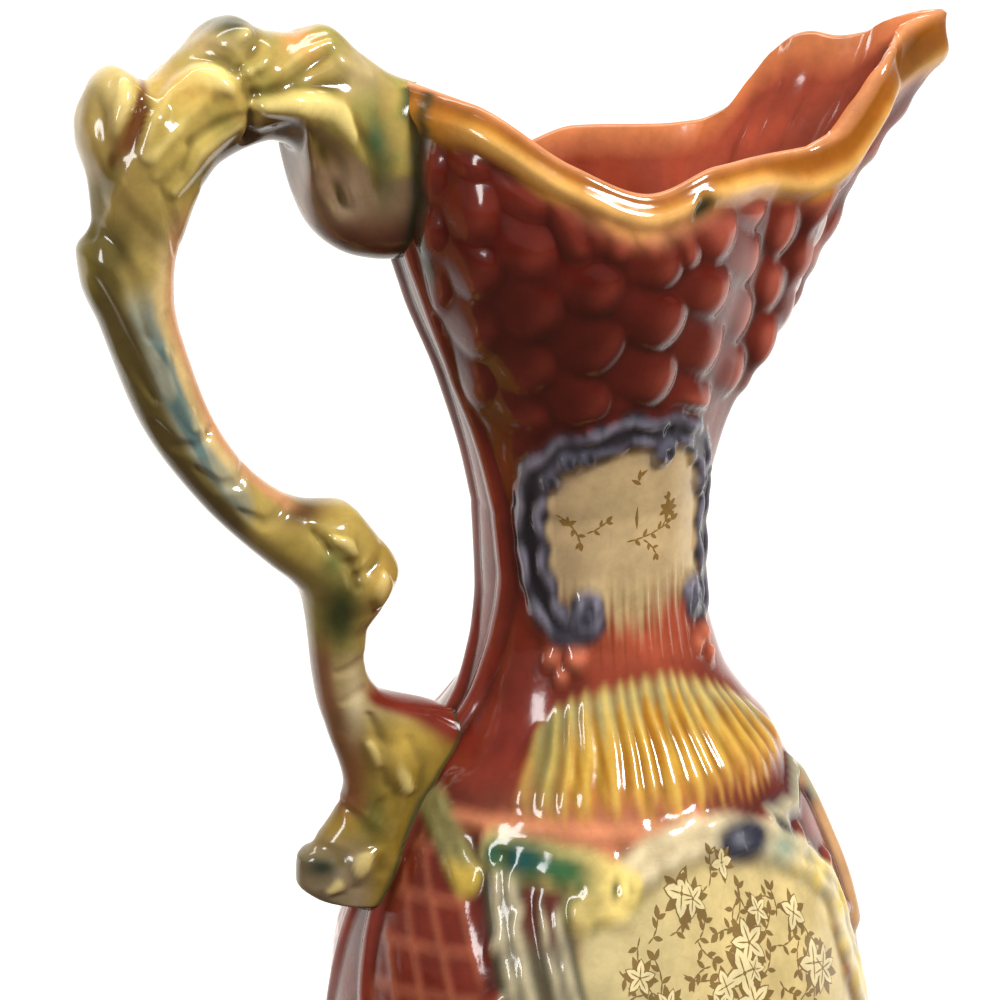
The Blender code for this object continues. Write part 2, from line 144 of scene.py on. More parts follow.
def neck_point(angle, share):
    """Reach and height of the flared neck, from the throat (0) to the lip (1)."""
    degrees = np.degrees(angle)
    lip = np.array(LIP, float)
    reach = curve(lip[:, (0, 1)], degrees)
    top = curve(lip[:, (0, 2)], degrees)
    front = 1 - ease(25, 70, degrees)
    back = ease(95, 145, degrees)
    opening = (front * curve(SPOUT_FLARE, share) + back * curve(BACK_FLARE, share)
               + (1 - front - back) * curve(SIDE_FLARE, share))
    throat = body_reach(angle, THROAT_HEIGHT)
    return throat + (reach - throat) * opening, THROAT_HEIGHT + share * (top - THROAT_HEIGHT)


def wrap(angle):
    """Angle from the spout, 0 to pi, the same on both sides."""
    return np.abs((angle + pi) % (2 * pi) - pi)


# The carving. Places are degrees from the middle of a side, towards the spout, and heights.
# CARVING_TURN gives how many degrees all of it is turned back, at each height.
SEAM = (
    (-86, 367), (-84, 340), (-80, 316), (-80, 297), (-76, 285), (-72, 266), (-68, 245), (-75, 225),
    (-82, 201),
    (-79, 186), (-82, 165), (-78, 138), (-72, 112), (-70, 92), (-78, 78))
NECK_FRAME_BACK = (
    (13, 284), (-4, 286), (-18, 283), (-34, 281), (-47, 275), (-53, 263), (-51, 250), (-45, 239), (-35, 233),
    (-24, 235), (-23, 240))
NECK_FRAME_FRONT = ((18, 285), (33, 282), (46, 275), (55, 264), (55, 252), (60, 240), (56, 233),
                    (46, 234), (44, 239))
LEDGES = (((-66, 187), (-42, 188.5), (-20, 187), (0, 186.5), (12, 188)),
          ((-52, 185), (-30, 183.5), (-16, 181.5)))
BELLY_ARCH = (
    (-14, 176), (-5, 181), (8, 183.5), (22, 182), (35, 176.5), (46, 168), (53, 157), (51, 145), (54, 130),
    (58, 116), (54, 100), (44, 90), (28, 84))
BELLY_POSTS = (
    ((-46, 180), (-42, 166), (-37, 150), (-34, 132), (-38, 116), (-45, 102), (-38, 90), (-20, 84), (4, 82)),
    ((-33, 172), (-30, 160), (-26, 145), (-24, 130), (-29, 116)))
TOP_LEAF = ((-48, 182), (-36, 181), (-24, 179), (-14, 174), (-24, 170))
BACK_STRAP = ((-73, 188), (-63, 182), (-55, 175))
FRONT_STRAP = ((72, 181), (71, 168), (67, 154), (63, 143))
FRONT_SCROLL = ((44, 178), (40, 182), (54, 180), (68, 186), (75, 181), (70, 176))
FAN_TOP = ((-52, 196), (-47, 207), (-38, 213.5), (-20, 218), (14, 220), (36, 216), (63, 207), (74, 197))
CARVING_TURN = ((0, 3.7), (150, 3.7), (240, 4.4), (262, 4.0), (300, 2.3), (350, 0.0))
SCALE_ORIGIN = 300.0
SCALE_ALONG = (16.5, -9.3)
SCALE_DOWN = (1.0, -15.0)
SCALE_TIP = 6.4
SCALE_TAIL = 17.0
SCALE_HALF_WIDTH = 7.2
FAN_PITCH = 7.4
NET_PITCH = (10.4, 11.0)
FOOT_LOBES = 16
RUFFLE = 0.7
FLUTE_PITCH = 6.5
FLUTE_HEIGHT = 0.35
GADROON_HEIGHT = 2.2
FOOT_LOBE_HEIGHT = 1.4
STEM_RING_HEIGHT = 1.6
BEAD_HEIGHT = 2.2
BEAD_DROP = 5.0
PETALS = tuple(((a, 346 - 0.10 * (a + 30)), (a + 7, 334 - 0.10 * (a + 30))) for a in (-34, -22, -11, 1))
CURLS = (
    (15, 279, 3.4), (-24, 279.5, 2.4), (-33, 278.5, 2.6), (-41, 273, 2.6), (47, 268, 2.8), (-26, 236, 3.4),
    (47, 236, 3.0), (60, 349, 3.2), (66, 346, 2.8), (24, 179.6, 4.0), (38, 181, 2.6), (-13, 174, 3.0),
    (66, 184, 2.6))
BERRIES = (
    (-29, 226, 3.4), (-41, 226, 2.7), (-36, 221.5, 2.2), (51, 226, 3.2), (53, 220.5, 2.4), (44, 224, 2.2))
LEAVES = (
    ((-53, 262), (-45, 269)), ((-24, 287), (-14, 283)), ((41, 281), (35, 275)), ((57, 270), (47, 265)),
    ((60, 258), (49, 256)), ((60, 247), (51, 250)), ((-54, 249), (-47, 256)), ((18, 187), (9, 182)),
    ((36, 182), (28, 177)), ((50, 174), (40, 170)), ((60, 163), (48, 160)), ((61, 148), (47, 150)),
    ((61, 134), (47, 137)), ((65, 120), (51, 124)), ((-45, 160), (-39, 170)), ((-49, 140), (-41, 150)),
    ((-49, 122), (-40, 132)), ((-53, 106), (-44, 116)), ((-52, 184), (-44, 178)),
    ((-20, 170), (-12, 167)))


def stroke(side, level, reach, points, width, height, leafy=0.0, pitch=7.0, taper=0.0):
    """Rounded moulding along the points, notched at its edges by leafy and narrowed at its ends by taper."""
    far, along = np.full(side.shape, 1e9), np.zeros(side.shape)
    across, gone = side * reach, 0.0
    for (a0, z0), (a1, z1) in zip(points[:-1], points[1:]):
        x0, x1 = np.radians(a0) * reach, np.radians(a1) * reach
        dx, dz = x1 - x0, z1 - z0
        t = np.clip(((across - x0) * dx + (level - z0) * dz) / (dx * dx + dz * dz), 0, 1)
        reached = np.hypot(across - x0 - t * dx, level - z0 - t * dz)
        length = np.hypot(dx, dz)
        along = np.where(reached < far, gone + t * length, along)
        far = np.minimum(far, reached)
        gone = gone + length
    notched = 1 + leafy * np.cos(2 * pi * along / pitch)
    half = width / 2 * notched * (1 - taper * (2 * along / gone - 1) ** 2)
    return height * np.clip(1 - (far / half) ** 2, 0, 1) ** 1.25


def scales(side, level, reach):
    """Overlapping tongues in rows that fall towards the spout, each highest at its rounded lower end."""
    u, v = side * reach, level - SCALE_ORIGIN
    (ax, az), (dx, dz) = SCALE_ALONG, SCALE_DOWN
    det = ax * dz - az * dx
    i, j = (u * dz - v * dx) / det, (ax * v - az * u) / det
    best = np.zeros(side.shape)
    for di in (-1, 0, 1):
        for dj in (-1, 0, 1):
            ci, cj = np.round(i) + di, np.round(j) + dj
            shift = 0.9 * np.sin(5.1 * ci + 3.7 * cj)
            x, y = u - ci * ax - cj * dx - shift, v - ci * az - cj * dz
            along, over = 0.9 * x - 0.43 * y - 2.0, 0.43 * x + 0.9 * y
            long = np.where(along > 0, SCALE_TIP, SCALE_TAIL)
            far = np.hypot(along / long, over / (SCALE_HALF_WIDTH + 0.5 * shift))
            dome = np.clip(1 - far ** 2, 0, 1) ** 0.8 * (0.2 + 0.8 * ease(-13, 3, along))
            best = np.maximum(best, dome)
    return best


def ball(side, level, reach, degrees, z, radius):
    """Round boss, 1 at its middle and 0 at its rim."""
    away = np.hypot((side - np.radians(degrees)) * reach, level - z) / radius
    return np.sqrt(np.clip(1 - away ** 2, 0, 1))


def fan_ribs(degrees, level):
    """1 on a rib of the fan and -1 between two, a little uneven as modelled by hand."""
    wander = np.sin(0.23 * degrees + 1) + 0.5 * np.sin(0.3 * level)
    return np.cos(2 * pi * (degrees + 0.05 * (level - 200)) / FAN_PITCH + wander)


def lattice(side, level, reach):
    """The netted panel behind the posts: where it lies, and how near its raised lines are (0 on a line)."""
    degrees = np.degrees(side)
    edge = curve(((90, -50), (120, -46), (150, -45), (166, -50), (176, -60), (184, -74)), level)
    panel = ease(-77, -74, degrees) * ease(edge, edge - 3, degrees)
    panel = panel * ease(92, 96, level) * ease(184, 180, level)
    u, v = side * reach + 0.22 * level, level - 0.12 * side * reach
    pitch_u, pitch_v = NET_PITCH
    from_u = pitch_u * np.abs(np.sin(pi * u / pitch_u))
    from_v = pitch_v * np.abs(np.sin(pi * v / pitch_v))
    return panel, np.minimum(from_u, from_v) / pi


def relief(side, level, below, reach):
    """Height of the carving over the plain wall; below is the distance under the lip."""
    side = side + np.radians(np.interp(level, *zip(*CARVING_TURN)))
    height = np.zeros(side.shape)
    degrees = np.degrees(side)
    around = stroke(side, level, reach, NECK_FRAME_BACK + NECK_FRAME_FRONT, 14, 1.0)
    field = ease(286, 290, level) * ease(8, 13, below) * ease(-80, -74, degrees)
    strong = 1.5 + 0.6 * ease(-50, 20, degrees)
    height += strong * field * (1 - np.clip(4 * around, 0, 1)) * scales(side, level, reach)
    ribs = fan_ribs(degrees, level)
    fan_top = curve(FAN_TOP, degrees) + RUFFLE * ribs
    fan = ease(fan_top, fan_top - 6, level) * ease(188, 194, level) * ease(-53, -48, degrees)
    fan = fan * (1 - ease(70, 75, degrees))
    height += fan * (0.7 + 0.3 * ribs)
    flutes = ease(221, 226, level) * ease(249, 240, level) * ease(52, 44, np.abs(degrees - 4))
    height += FLUTE_HEIGHT * flutes * np.cos(2 * pi * (degrees - 4) / FLUTE_PITCH)
    panel, line = lattice(side, level, reach)
    height += panel * (0.5 * ease(1.5, 0.2, line) + 0.35 * ease(1.2, 4.5, line))
    lobes = np.abs(np.cos(FOOT_LOBES / 2 * side))
    height += GADROON_HEIGHT * ease(48, 56, level) * ease(90, 78, level) * lobes ** 0.7
    height += FOOT_LOBE_HEIGHT * ease(1.5, 5, level) * ease(30, 20, level) * lobes ** 0.7
    height += STEM_RING_HEIGHT * np.exp(-((level - STEM_HEIGHT) / 2.6) ** 2)
    for points, width, tall, leafy in (
            (SEAM, 7.5, 1.6, 0.0), (NECK_FRAME_BACK, 11.0, 2.3, 0.08), (NECK_FRAME_FRONT, 9.5, 2.3, 0.08),
            (BELLY_ARCH, 12.0, 2.9, 0.08), (BELLY_POSTS[0], 9.5, 2.4, 0.0), (BELLY_POSTS[1], 7.5, 1.9, 0.0),
            (TOP_LEAF, 10.0, 2.6, 0.12), (BACK_STRAP, 9.0, 2.0, 0.05), (FRONT_STRAP, 8.5, 2.4, 0.0),
            (FRONT_SCROLL, 5.5, 1.8, 0.0), (LEDGES[0], 5.0, 1.5, 0.1), (LEDGES[1], 5.0, 1.4, 0.1)):
        height = np.maximum(height, stroke(side, level, reach, points, width, tall, leafy))
    for points in LEAVES:
        height = np.maximum(height, stroke(side, level, reach, points, 6.4, 1.9, taper=0.6))
    for points in (BELLY_ARCH, BELLY_POSTS[0], BELLY_POSTS[1], TOP_LEAF, BACK_STRAP):
        height = height - stroke(side, level, reach, points, 4.4, 1.2, 0.35, 11.0)
    for points in (NECK_FRAME_BACK, NECK_FRAME_FRONT):
        height = height - stroke(side, level, reach, points, 4.8, 1.6, 0.4, 13.0)
    for points in PETALS:
        height = np.maximum(height, stroke(side, level, reach, points, 8.5, 1.7))
    for a, z, radius in CURLS:
        boss = ball(side, level, reach, a, z, radius)
        height = np.maximum(height, 2.6 * boss) - 1.6 * ball(side, level, reach, a + 1, z, 0.4 * radius)
    for a, z, radius in BERRIES:
        height = np.maximum(height, 0.75 * radius * ball(side, level, reach, a, z, radius))
    spout = ease(40, 72, degrees)
    drop = BEAD_DROP + 5.0 * spout
    bead = BEAD_HEIGHT * np.exp(-((below - drop) / (2.7 + 1.6 * spout)) ** 2)
    bead = bead - 1.3 * np.exp(-((degrees - 84) / 3.0) ** 2 - ((below - 6) / 3.6) ** 2)
    bead = bead - 1.9 * ball(side, below, reach, 12, 6.5, 2.6)
    return np.where(below < 14, np.maximum(bead, height * ease(6, 12, below)), height)


def outer_rows():
    """Rows of points up the plain outside, foot to lip; columns lie closer together on the two sides."""
    even = np.linspace(0, 2 * pi, COLUMNS, endpoint=False)
    angle = even + 0.12 * np.sin(2 * even)
    turned = wrap(angle)
    rows, below = [], []
    top = neck_point(turned, 1.0)[1]
    for z in np.concatenate((np.arange(0, 48, 4.0), np.arange(48, 84, 3.0), np.arange(84, 134, 2.2),
                             np.arange(135, 222, 1.15), np.arange(222, 261.5, 1.25))):
        reach = body_reach(turned, z)
        rows.append(np.stack([reach * np.cos(angle), reach * np.sin(angle), np.full(len(angle), z)], 1))
        below.append(top - z)
    for share in np.linspace(0, 1, NECK_ROWS):
        reach, z = neck_point(turned, share)
        rows.append(np.stack([reach * np.cos(angle), reach * np.sin(angle), z], 1))
        below.append(top - z)
    return np.array(rows), np.array(below)


def carved(rows, height):
    """Push the rows out along their normals by the height of the carving."""
    around = np.roll(rows, -1, 1) - np.roll(rows, 1, 1)
    upward = np.gradient(rows, axis=0)
    normal = np.cross(around, upward)
    normal /= np.linalg.norm(normal, axis=2)[..., None]
    normal[0] = rows[0] * (1, 1, 0) / np.linalg.norm(rows[0, :, :2], axis=1)[:, None]
    return rows + normal * height[..., None]


def hollow_ring(ring, slope, thick):
    """The ring moved in towards the axis by the wall, clear of every point of the outer ring."""
    angle = np.arctan2(ring[:, 1], ring[:, 0])
    gap = thick * np.hypot(1, slope)
    along = ring[:, 0, None] * np.cos(angle) + ring[:, 1, None] * np.sin(angle)
    aside = ring[:, 0, None] * np.sin(angle) - ring[:, 1, None] * np.cos(angle)
    inside = along - np.sqrt(np.maximum(gap[:, None] ** 2 - aside ** 2, 0))
    blocked = (np.abs(aside) < gap[:, None]) & (along > 0)
    reach = np.where(blocked, inside, 1e9).min(axis=0)
    return np.stack([reach * np.cos(angle), reach * np.sin(angle), ring[:, 2]], 1)


def inner_rows(rows):
    """Rows down the inside, lip to floor."""
    radius = np.hypot(rows[..., 0], rows[..., 1])
    slope = np.gradient(radius, axis=0) / np.gradient(rows[..., 2], axis=0)
    picked, last = [], None
    for i in range(len(rows) - 1, 0, -1):
        height = rows[i, :, 2].min()
        if height < FLOOR:
            break
        if last is None or last - height >= INNER_STEP:
            thick = LIP_WALL + (WALL - LIP_WALL) * ease(0, WALL_FADE, rows[-1, :, 2] - rows[i, :, 2])
            picked.append(hollow_ring(rows[i], np.clip(slope[i], -1.2, 1.2), thick))
            last = height
    bottom = picked[-1].copy()
    bottom[:, 2] = FLOOR
    return picked + [bottom]


def skin(name, rings, colours):
    """Closed skin: a grid laid on the rings, its ends drawn to a point and its open edges filled."""
    ends = [np.repeat(ring.mean(axis=0)[None] * (1, 0, 1), len(ring), 0) for ring in (rings[0], rings[-1])]
    points = np.array([ends[0]] + list(rings) + [ends[1]]) * MM
    tints = np.concatenate((colours[:1], colours, colours[-1:]))
    rows, columns = points.shape[:2]
    bpy.ops.object.select_all(action="DESELECT")
    bpy.ops.mesh.primitive_grid_add(x_subdivisions=columns - 1, y_subdivisions=rows - 1)
    piece = bpy.context.object
    piece.name = name
    piece.data.vertices.foreach_set("co", points.ravel())
    layer = piece.data.color_attributes.new("paint", "FLOAT_COLOR", "POINT")
    layer.data.foreach_set("color", np.concatenate((tints, np.ones((rows, columns, 1))), 2).ravel())
    bpy.ops.object.mode_set(mode="EDIT")
    bpy.ops.mesh.select_mode(type="EDGE")
    bpy.ops.mesh.select_all(action="SELECT")
    bpy.ops.mesh.remove_doubles(threshold=0.000001)
    bpy.ops.mesh.select_all(action="DESELECT")
    bpy.ops.mesh.select_non_manifold()
    if any(edge.select for edge in bmesh.from_edit_mesh(piece.data).edges):
        bpy.ops.mesh.edge_face_add()
        bpy.ops.mesh.quads_convert_to_tris(ngon_method="CLIP")
    bpy.ops.object.mode_set(mode="OBJECT")
    bpy.ops.object.shade_smooth_by_angle(angle=np.radians(75))
    return piece


def blurred(values, passes, around=3):
    """Average each point with its neighbours; columns run round and lie closer than rows."""
    for _ in range(passes):
        for _ in range(around):
            values = (values + np.roll(values, 1, 1) + np.roll(values, -1, 1)) / 3
        up, down = np.vstack((values[1:], values[-1:])), np.vstack((values[:1], values[:-1]))
        values = (values + up + down) / 3
    return values


plain_rows, below_lip = outer_rows()
side_angle = np.arctan2(plain_rows[..., 0], np.abs(plain_rows[..., 1]))
reaches = np.hypot(plain_rows[..., 0], plain_rows[..., 1])
height_map = blurred(relief(side_angle, plain_rows[..., 2], below_lip, reaches), 1, 1)
outside = carved(plain_rows, height_map)
inside = np.array(inner_rows(outside))


def linear(text):
    """sRGB hex to linear colour."""
    c = np.array([int(text[i:i + 2], 16) for i in (1, 3, 5)]) / 255
    return np.where(c < 0.04045, c / 12.92, ((c + 0.055) / 1.055) ** 2.4)


def paint(colour, mask, text):
    """Brush a glaze over what is there, as thick as the mask."""
    mask = np.clip(mask, 0, 1)[..., None]
    return colour * (1 - mask) + linear(text) * mask


def spot(side, level, reach, degrees, z, wide, tall):
    """Soft oval patch at a place on the body."""
    x = (side - np.radians(degrees)) * reach / wide
    return np.exp(-(x * x + ((level - z) / tall) ** 2))


def speckle(u, v, size, seed):
    """Smooth random patches, 0 to 1, about one size across."""
    total = np.zeros(np.broadcast(u, v).shape)
    for k in range(5):
        a = seed * 1.7 + k * 2.399
        total += np.sin((u * np.cos(a) + v * np.sin(a)) * 2.2 / size * (1 + 0.31 * k) + seed * 3.1 + k)
    return np.clip(0.5 + total / 5, 0, 1)


def body_glaze(side, level, below, reach, height):
    """Colours of the outside: brick red ground, then each painted zone."""
    side = side + np.radians(np.interp(level, *zip(*CARVING_TURN)))
    degrees = np.degrees(side)
    cavity = 1.7 * (height - blurred(height, 5))
    wide_cavity = height - blurred(height, 16)
    u = side * reach
    mottle = speckle(u, level, 14, 1)
    colour = np.zeros(side.shape + (3,)) + linear("#6A2217")
    colour = paint(colour, 0.45 * ease(255, 190, level) + 0.2 * mottle, "#842F20")
    # Painted shade: the upper neck darker towards the handle side, fading out towards the spout.
    colour = paint(colour, 0.8 * ease(356, 320, level) * ease(270, 290, level)
                   * (1 - 0.85 * ease(-25, 35, degrees)), "#48120B")
    # Red ground paler on the crests and darker in the hollows: partly the glaze thin and pooled there,
    # partly painted highlight and painted shade; the crest light is stronger towards the spout.
    colour = paint(colour, (0.4 + 0.5 * ease(-40, 20, degrees)) * ease(0.05, 0.8, wide_cavity), "#9A4231")
    colour = paint(colour, 0.75 * ease(-0.02, -0.6, wide_cavity), "#380A06")
    # Painted highlight: pink-red light on the crests of the upper scales, towards the spout.
    colour = paint(colour, 0.7 * ease(-15, 30, degrees) * ease(284, 296, level)
                   * ease(0.0, 0.7, wide_cavity), "#B05C48")
    panel, line = lattice(side, level, reach)
    colour = paint(colour, 0.6 * panel, "#76291A")
    # The raised net lines are paler than the pads: partly thin glaze, partly painted highlight.
    colour = paint(colour, 0.85 * panel * ease(1.5, 0.1, line), "#B8684A")

    # Fan
    colour = paint(colour, 0.8 * spot(side, level, reach, 12, 229, 24, 10), "#B05438")
    ribs = fan_ribs(degrees, level)
    top = curve(FAN_TOP, degrees) + RUFFLE * ribs
    streak = speckle(u * 2.6, level * 0.4, 6, 7)
    patch = speckle(u, level, 9, 13)
    fan = ease(top + 1, top - 2, level) * ease(-47, -39, degrees) * (1 - ease(68, 73, degrees))
    fan = fan * ease(188.5, 195, level + 5 * (streak - 0.5))
    colour = paint(colour, fan, "#B07E24")
    colour = paint(colour, 0.7 * fan * ease(0.3, 0.7, patch), "#A6660F")
    colour = paint(colour, 0.55 * fan * ease(0.45, 0.9, streak), "#D6AE44")
    colour = paint(colour, 0.8 * fan * ease(top - 14 * streak - 5, top - 2, level), "#9C9468")
    colour = paint(colour, 0.8 * fan * ease(-26, -38, degrees), "#76784C")
    colour = paint(colour, 0.6 * fan * ease(203, 192, level + 4 * streak), "#C07A4C")
    # Fan ribs paler on their crests and darker between them: partly thin and pooled glaze, partly painted
    # highlight and painted shade.
    colour = paint(colour, 0.4 * fan * ease(0.2, 0.95, ribs), "#E4C260")
    colour = paint(colour, 0.5 * fan * ease(-0.3, -0.95, ribs), "#6E4E18")
    ledge = stroke(side, level, reach, LEDGES[0], 5, 1.0) + stroke(side, level, reach, LEDGES[1], 5, 1.0)
    colour = paint(colour, 0.9 * ledge, "#D88A60")
    glow = spot(side, level, reach, -18, 188, 26, 7)
    colour = paint(colour, 0.6 * glow * (1 - fan), "#DE9066")

    # Cream field and blue-grey frame on the neck
    edge = np.interp(level, (228, 234, 246, 262, 276, 283), (34, 46, 48, 52, 46, 24))
    offset = np.interp(level, (228, 250, 283), (6, 3, 3))
    field = ease(edge + 2, edge - 3, np.abs(degrees - offset)) * ease(282, 279, level)
    streak = speckle(u * 2.4, level * 0.15, 3, 5)
    field = field * ease(229, 243, level + 7 * (streak - 0.5) - 0.12 * np.abs(degrees - 3))
    colour = paint(colour, field, "#BEA478")
    # Painted shade: the cream field darker towards the back, away from the light.
    colour = paint(colour, 0.45 * field * ease(-5, -45, degrees), "#A88C6C")
    colour = paint(colour, 0.5 * field * ease(250, 238, level), "#B09866")
    frame_mask = np.maximum(stroke(side, level, reach, NECK_FRAME_BACK, 10.5, 1.0, 0.12, 9.0),
                            stroke(side, level, reach, NECK_FRAME_FRONT, 9.5, 1.0, 0.12, 9.0))
    frame_mask = ease(0.0, 0.35, frame_mask)
    colour = paint(colour, frame_mask, "#35323A")
    # Frame paler on its crests and darker in its hollows: partly thin and pooled glaze, partly painted
    # highlight and painted shade.
    colour = paint(colour, 0.8 * frame_mask * ease(0.15, 0.7, cavity), "#7C7886")
    colour = paint(colour, 0.9 * frame_mask * ease(-0.02, -0.35, cavity), "#1A1A20")
    # Painted highlight: lilac-grey patches of light along the frame's raised parts, broken up at random.
    painted_crest_light = ease(0.35, 0.7, speckle(u, level, 5, 21)) * ease(0.15, 0.5, wide_cavity)
    colour = paint(colour, 0.8 * frame_mask * painted_crest_light, "#8B8594")
    for degrees_at, z_at, size in CURLS:
        if 230 < z_at < 290:
            colour = paint(colour, 1.4 * spot(side, level, reach, degrees_at, z_at, size, size), "#5C5A68")
            # Dark eye of each curl over its pit: partly pooled glaze, partly painted shade.
            middle = spot(side, level, reach, degrees_at + 1, z_at, size / 2, size / 2)
            colour = paint(colour, middle, "#1A1A20")
    for degrees_at, z_at, size in BERRIES:
        colour = paint(colour, spot(side, level, reach, degrees_at, z_at, size, size) ** 2, "#D07858")

    # Cream field of the belly, its arch, posts and leaves
    right = curve((
        (80, 40), (100, 50), (116, 54), (130, 49), (145, 47), (157, 49), (168, 42), (176, 32),
        (184, 20)), level)
    left = curve((
        (80, -14), (90, -24), (102, -33), (116, -30), (130, -25), (150, -27), (165, -26), (176, -12),
        (184, 0)), level)
    belly = ease(left - 1, left + 4, degrees) * ease(right + 1, right - 3, degrees)
    belly = belly * ease(84, 88, level) * ease(184.5, 181, level)
    colour = paint(colour, belly, "#CDB67C")
    # Painted shade: the belly's cream field greyer and darker towards the back.
    colour = paint(colour, 0.4 * belly * ease(20, -25, degrees), "#AFA680")
    posts = np.maximum(stroke(side, level, reach, BELLY_POSTS[0], 12, 1.0),
                       stroke(side, level, reach, BELLY_POSTS[1], 11, 1.0))
    posts = ease(0.0, 0.35, posts)
    colour = paint(colour, posts, "#7C745E")
    # Posts paler on their crests and darker in their hollows: partly thin and pooled glaze, partly painted
    # highlight and painted shade.
    colour = paint(colour, posts * ease(0.0, 0.5, cavity), "#B9AC8A")
    colour = paint(colour, posts * ease(-0.02, -0.35, cavity), "#4E4A34")
    # Red ground in the hollow between the posts, darkened there as painted shade.
    hollow = ease(-41, -38, degrees) * ease(-28, -31, degrees)
    hollow = hollow * ease(158, 168, level) * ease(178, 175, level)
    colour = paint(colour, hollow * (1 - ease(0.1, 0.5, cavity)), "#5A2A1E")
    colour = paint(colour, 0.55 * belly * ease(0.0, 0.3, stroke(side, level, reach, BELLY_ARCH, 15, 1.0)),
                   "#7E7048")
    arch = ease(0.0, 0.35, stroke(side, level, reach, BELLY_ARCH, 11, 1.0))
    colour = paint(colour, arch, "#C2AE86")
    # Arch paler on its crests: partly thin glaze, partly painted highlight.
    colour = paint(colour, 0.8 * arch * ease(0.1, 0.6, cavity), "#E2D2A8")
    colour = paint(colour, 0.9 * arch * ease(176, 168, level) * ease(0.1, -0.3, cavity), "#56705C")
    colour = paint(colour, 0.7 * arch * ease(172, 165, level) * ease(0.4, 0.8, speckle(u, level, 7, 8)),
                   "#E0C04C")
    colour = paint(colour, 3.0 * spot(side, level, reach, 24, 179.6, 6.4, 3.8), "#2C2C3A")
    colour = paint(colour, 0.9 * spot(side, level, reach, 23, 180.2, 2.5, 1.2), "#8E8E96")
    colour = paint(colour, 0.8 * spot(side, level, reach, 37, 174, 5, 3), "#7E9A86")
    leaf = ease(0.0, 0.35, stroke(side, level, reach, TOP_LEAF, 12, 1.0))
    colour = paint(colour, leaf, "#C4AE6C")
    colour = paint(colour, leaf * ease(-26, -14, degrees), "#EACF7A")
    vein = stroke(side, level + 0.6, reach, TOP_LEAF[:4], 6.5, 1.0, 0.1, 9.0)
    colour = paint(colour, leaf * ease(0.0, 0.4, vein) * ease(-18, -28, degrees), "#3A6238")
    colour = paint(colour, 1.2 * leaf * spot(side, level, reach, -42, 181, 7, 4.5), "#1C4A44")
    # Leaf darker in its hollows: partly pooled glaze, partly painted shade.
    colour = paint(colour, 0.8 * leaf * ease(-0.05, -0.4, cavity), "#4A5A30")
    strap = ease(0.0, 0.35, stroke(side, level, reach, BACK_STRAP, 10, 1.0))
    colour = paint(colour, strap, "#8E8450")
    colour = paint(colour, strap * ease(179, 176, level), "#C8A848")
    # Strap darker in its hollows: partly pooled glaze, partly painted shade.
    colour = paint(colour, 0.8 * strap * ease(-0.05, -0.4, cavity), "#4E4824")
    strap = ease(0.0, 0.35, stroke(side, level, reach, FRONT_STRAP, 9, 1.0))
    colour = paint(colour, strap, "#C09468")
    scroll = ease(0.0, 0.3, stroke(side, level, reach, FRONT_SCROLL, 6.5, 1.0))
    colour = paint(colour, scroll, "#2E2E3A")
    # Scroll's raised edges pale: partly thin glaze, partly painted highlight.
    colour = paint(colour, 0.9 * scroll * ease(0.0, 0.4, cavity), "#B9AC8A")
    # Dark brown in the low parts where the leaf turns over: partly pooled glaze, partly painted shade.
    turn = ease(0.35, 0.6, stroke(side, level, reach, TOP_LEAF[3:] + ((-29, 166),), 5.0, 1.0, 0.3, 6.0))
    colour = paint(colour, 0.7 * turn * ease(0.2, -0.2, cavity), "#4A3A22")

    # Ochre and yellow lip
    spout = ease(40, 72, degrees)
    drop = BEAD_DROP + 5.0 * spout
    ragged = 2.5 * speckle(u, level, 11, 4)
    lip = ease(drop + 6.5, drop + 1.5, below + ragged)
    colour = paint(colour, 0.55 * ease(drop + 12, drop + 4, below + 2 * ragged) * ease(-30, 0, degrees),
                   "#B5604A")
    colour = paint(colour, lip, "#D89C40")
    colour = paint(colour, 0.8 * lip * speckle(u, below * 2, 16, 2), "#B8701F")
    # Painted highlight along the bead's crest.
    colour = paint(colour, 0.85 * lip * np.exp(-((below - drop - 0.4) / 1.6) ** 2)
                   * ease(-75, -40, degrees), "#EDBD70")
    colour = paint(colour, lip * ease(drop - 1.0, drop - 3.4, below), "#94530F")
    # Dark ochre oval in the hollow beside the spout: pooled glaze and painted shade.
    colour = paint(colour, 0.9 * ease(0.5, 0.9, 1.6 * spot(side, below, reach, 85, 6.5, 9, 5)), "#74420F")
    colour = paint(colour, 0.6 * spot(side, below, reach, -6, drop + 3, 16, 3), "#D4935E")
    colour = paint(colour, 0.7 * ease(0.8, 0.1, below), "#C68250")
    # Dark spot in the pit cut into the bead: pooled glaze and painted shade.
    colour = paint(colour, 1.4 * spot(side, below, reach, 12, 6.5, 3.2, 2.2), "#33301A")

    # Green pooled along the joint with the handle
    back = np.where(degrees < -60, np.abs(reach * np.cos(side)), 1e3)
    joint = np.exp(-((back - 13.5) / 2.0) ** 2) * ease(318, 330, level)
    low_joint = np.exp(-((back - 9.6) / 1.2) ** 2) * ease(209, 203, level) * ease(155, 162, level)
    joint = joint + 0.6 * low_joint
    colour = paint(colour, 0.85 * joint, "#243426")
    return blurred(colour, 1, 1)


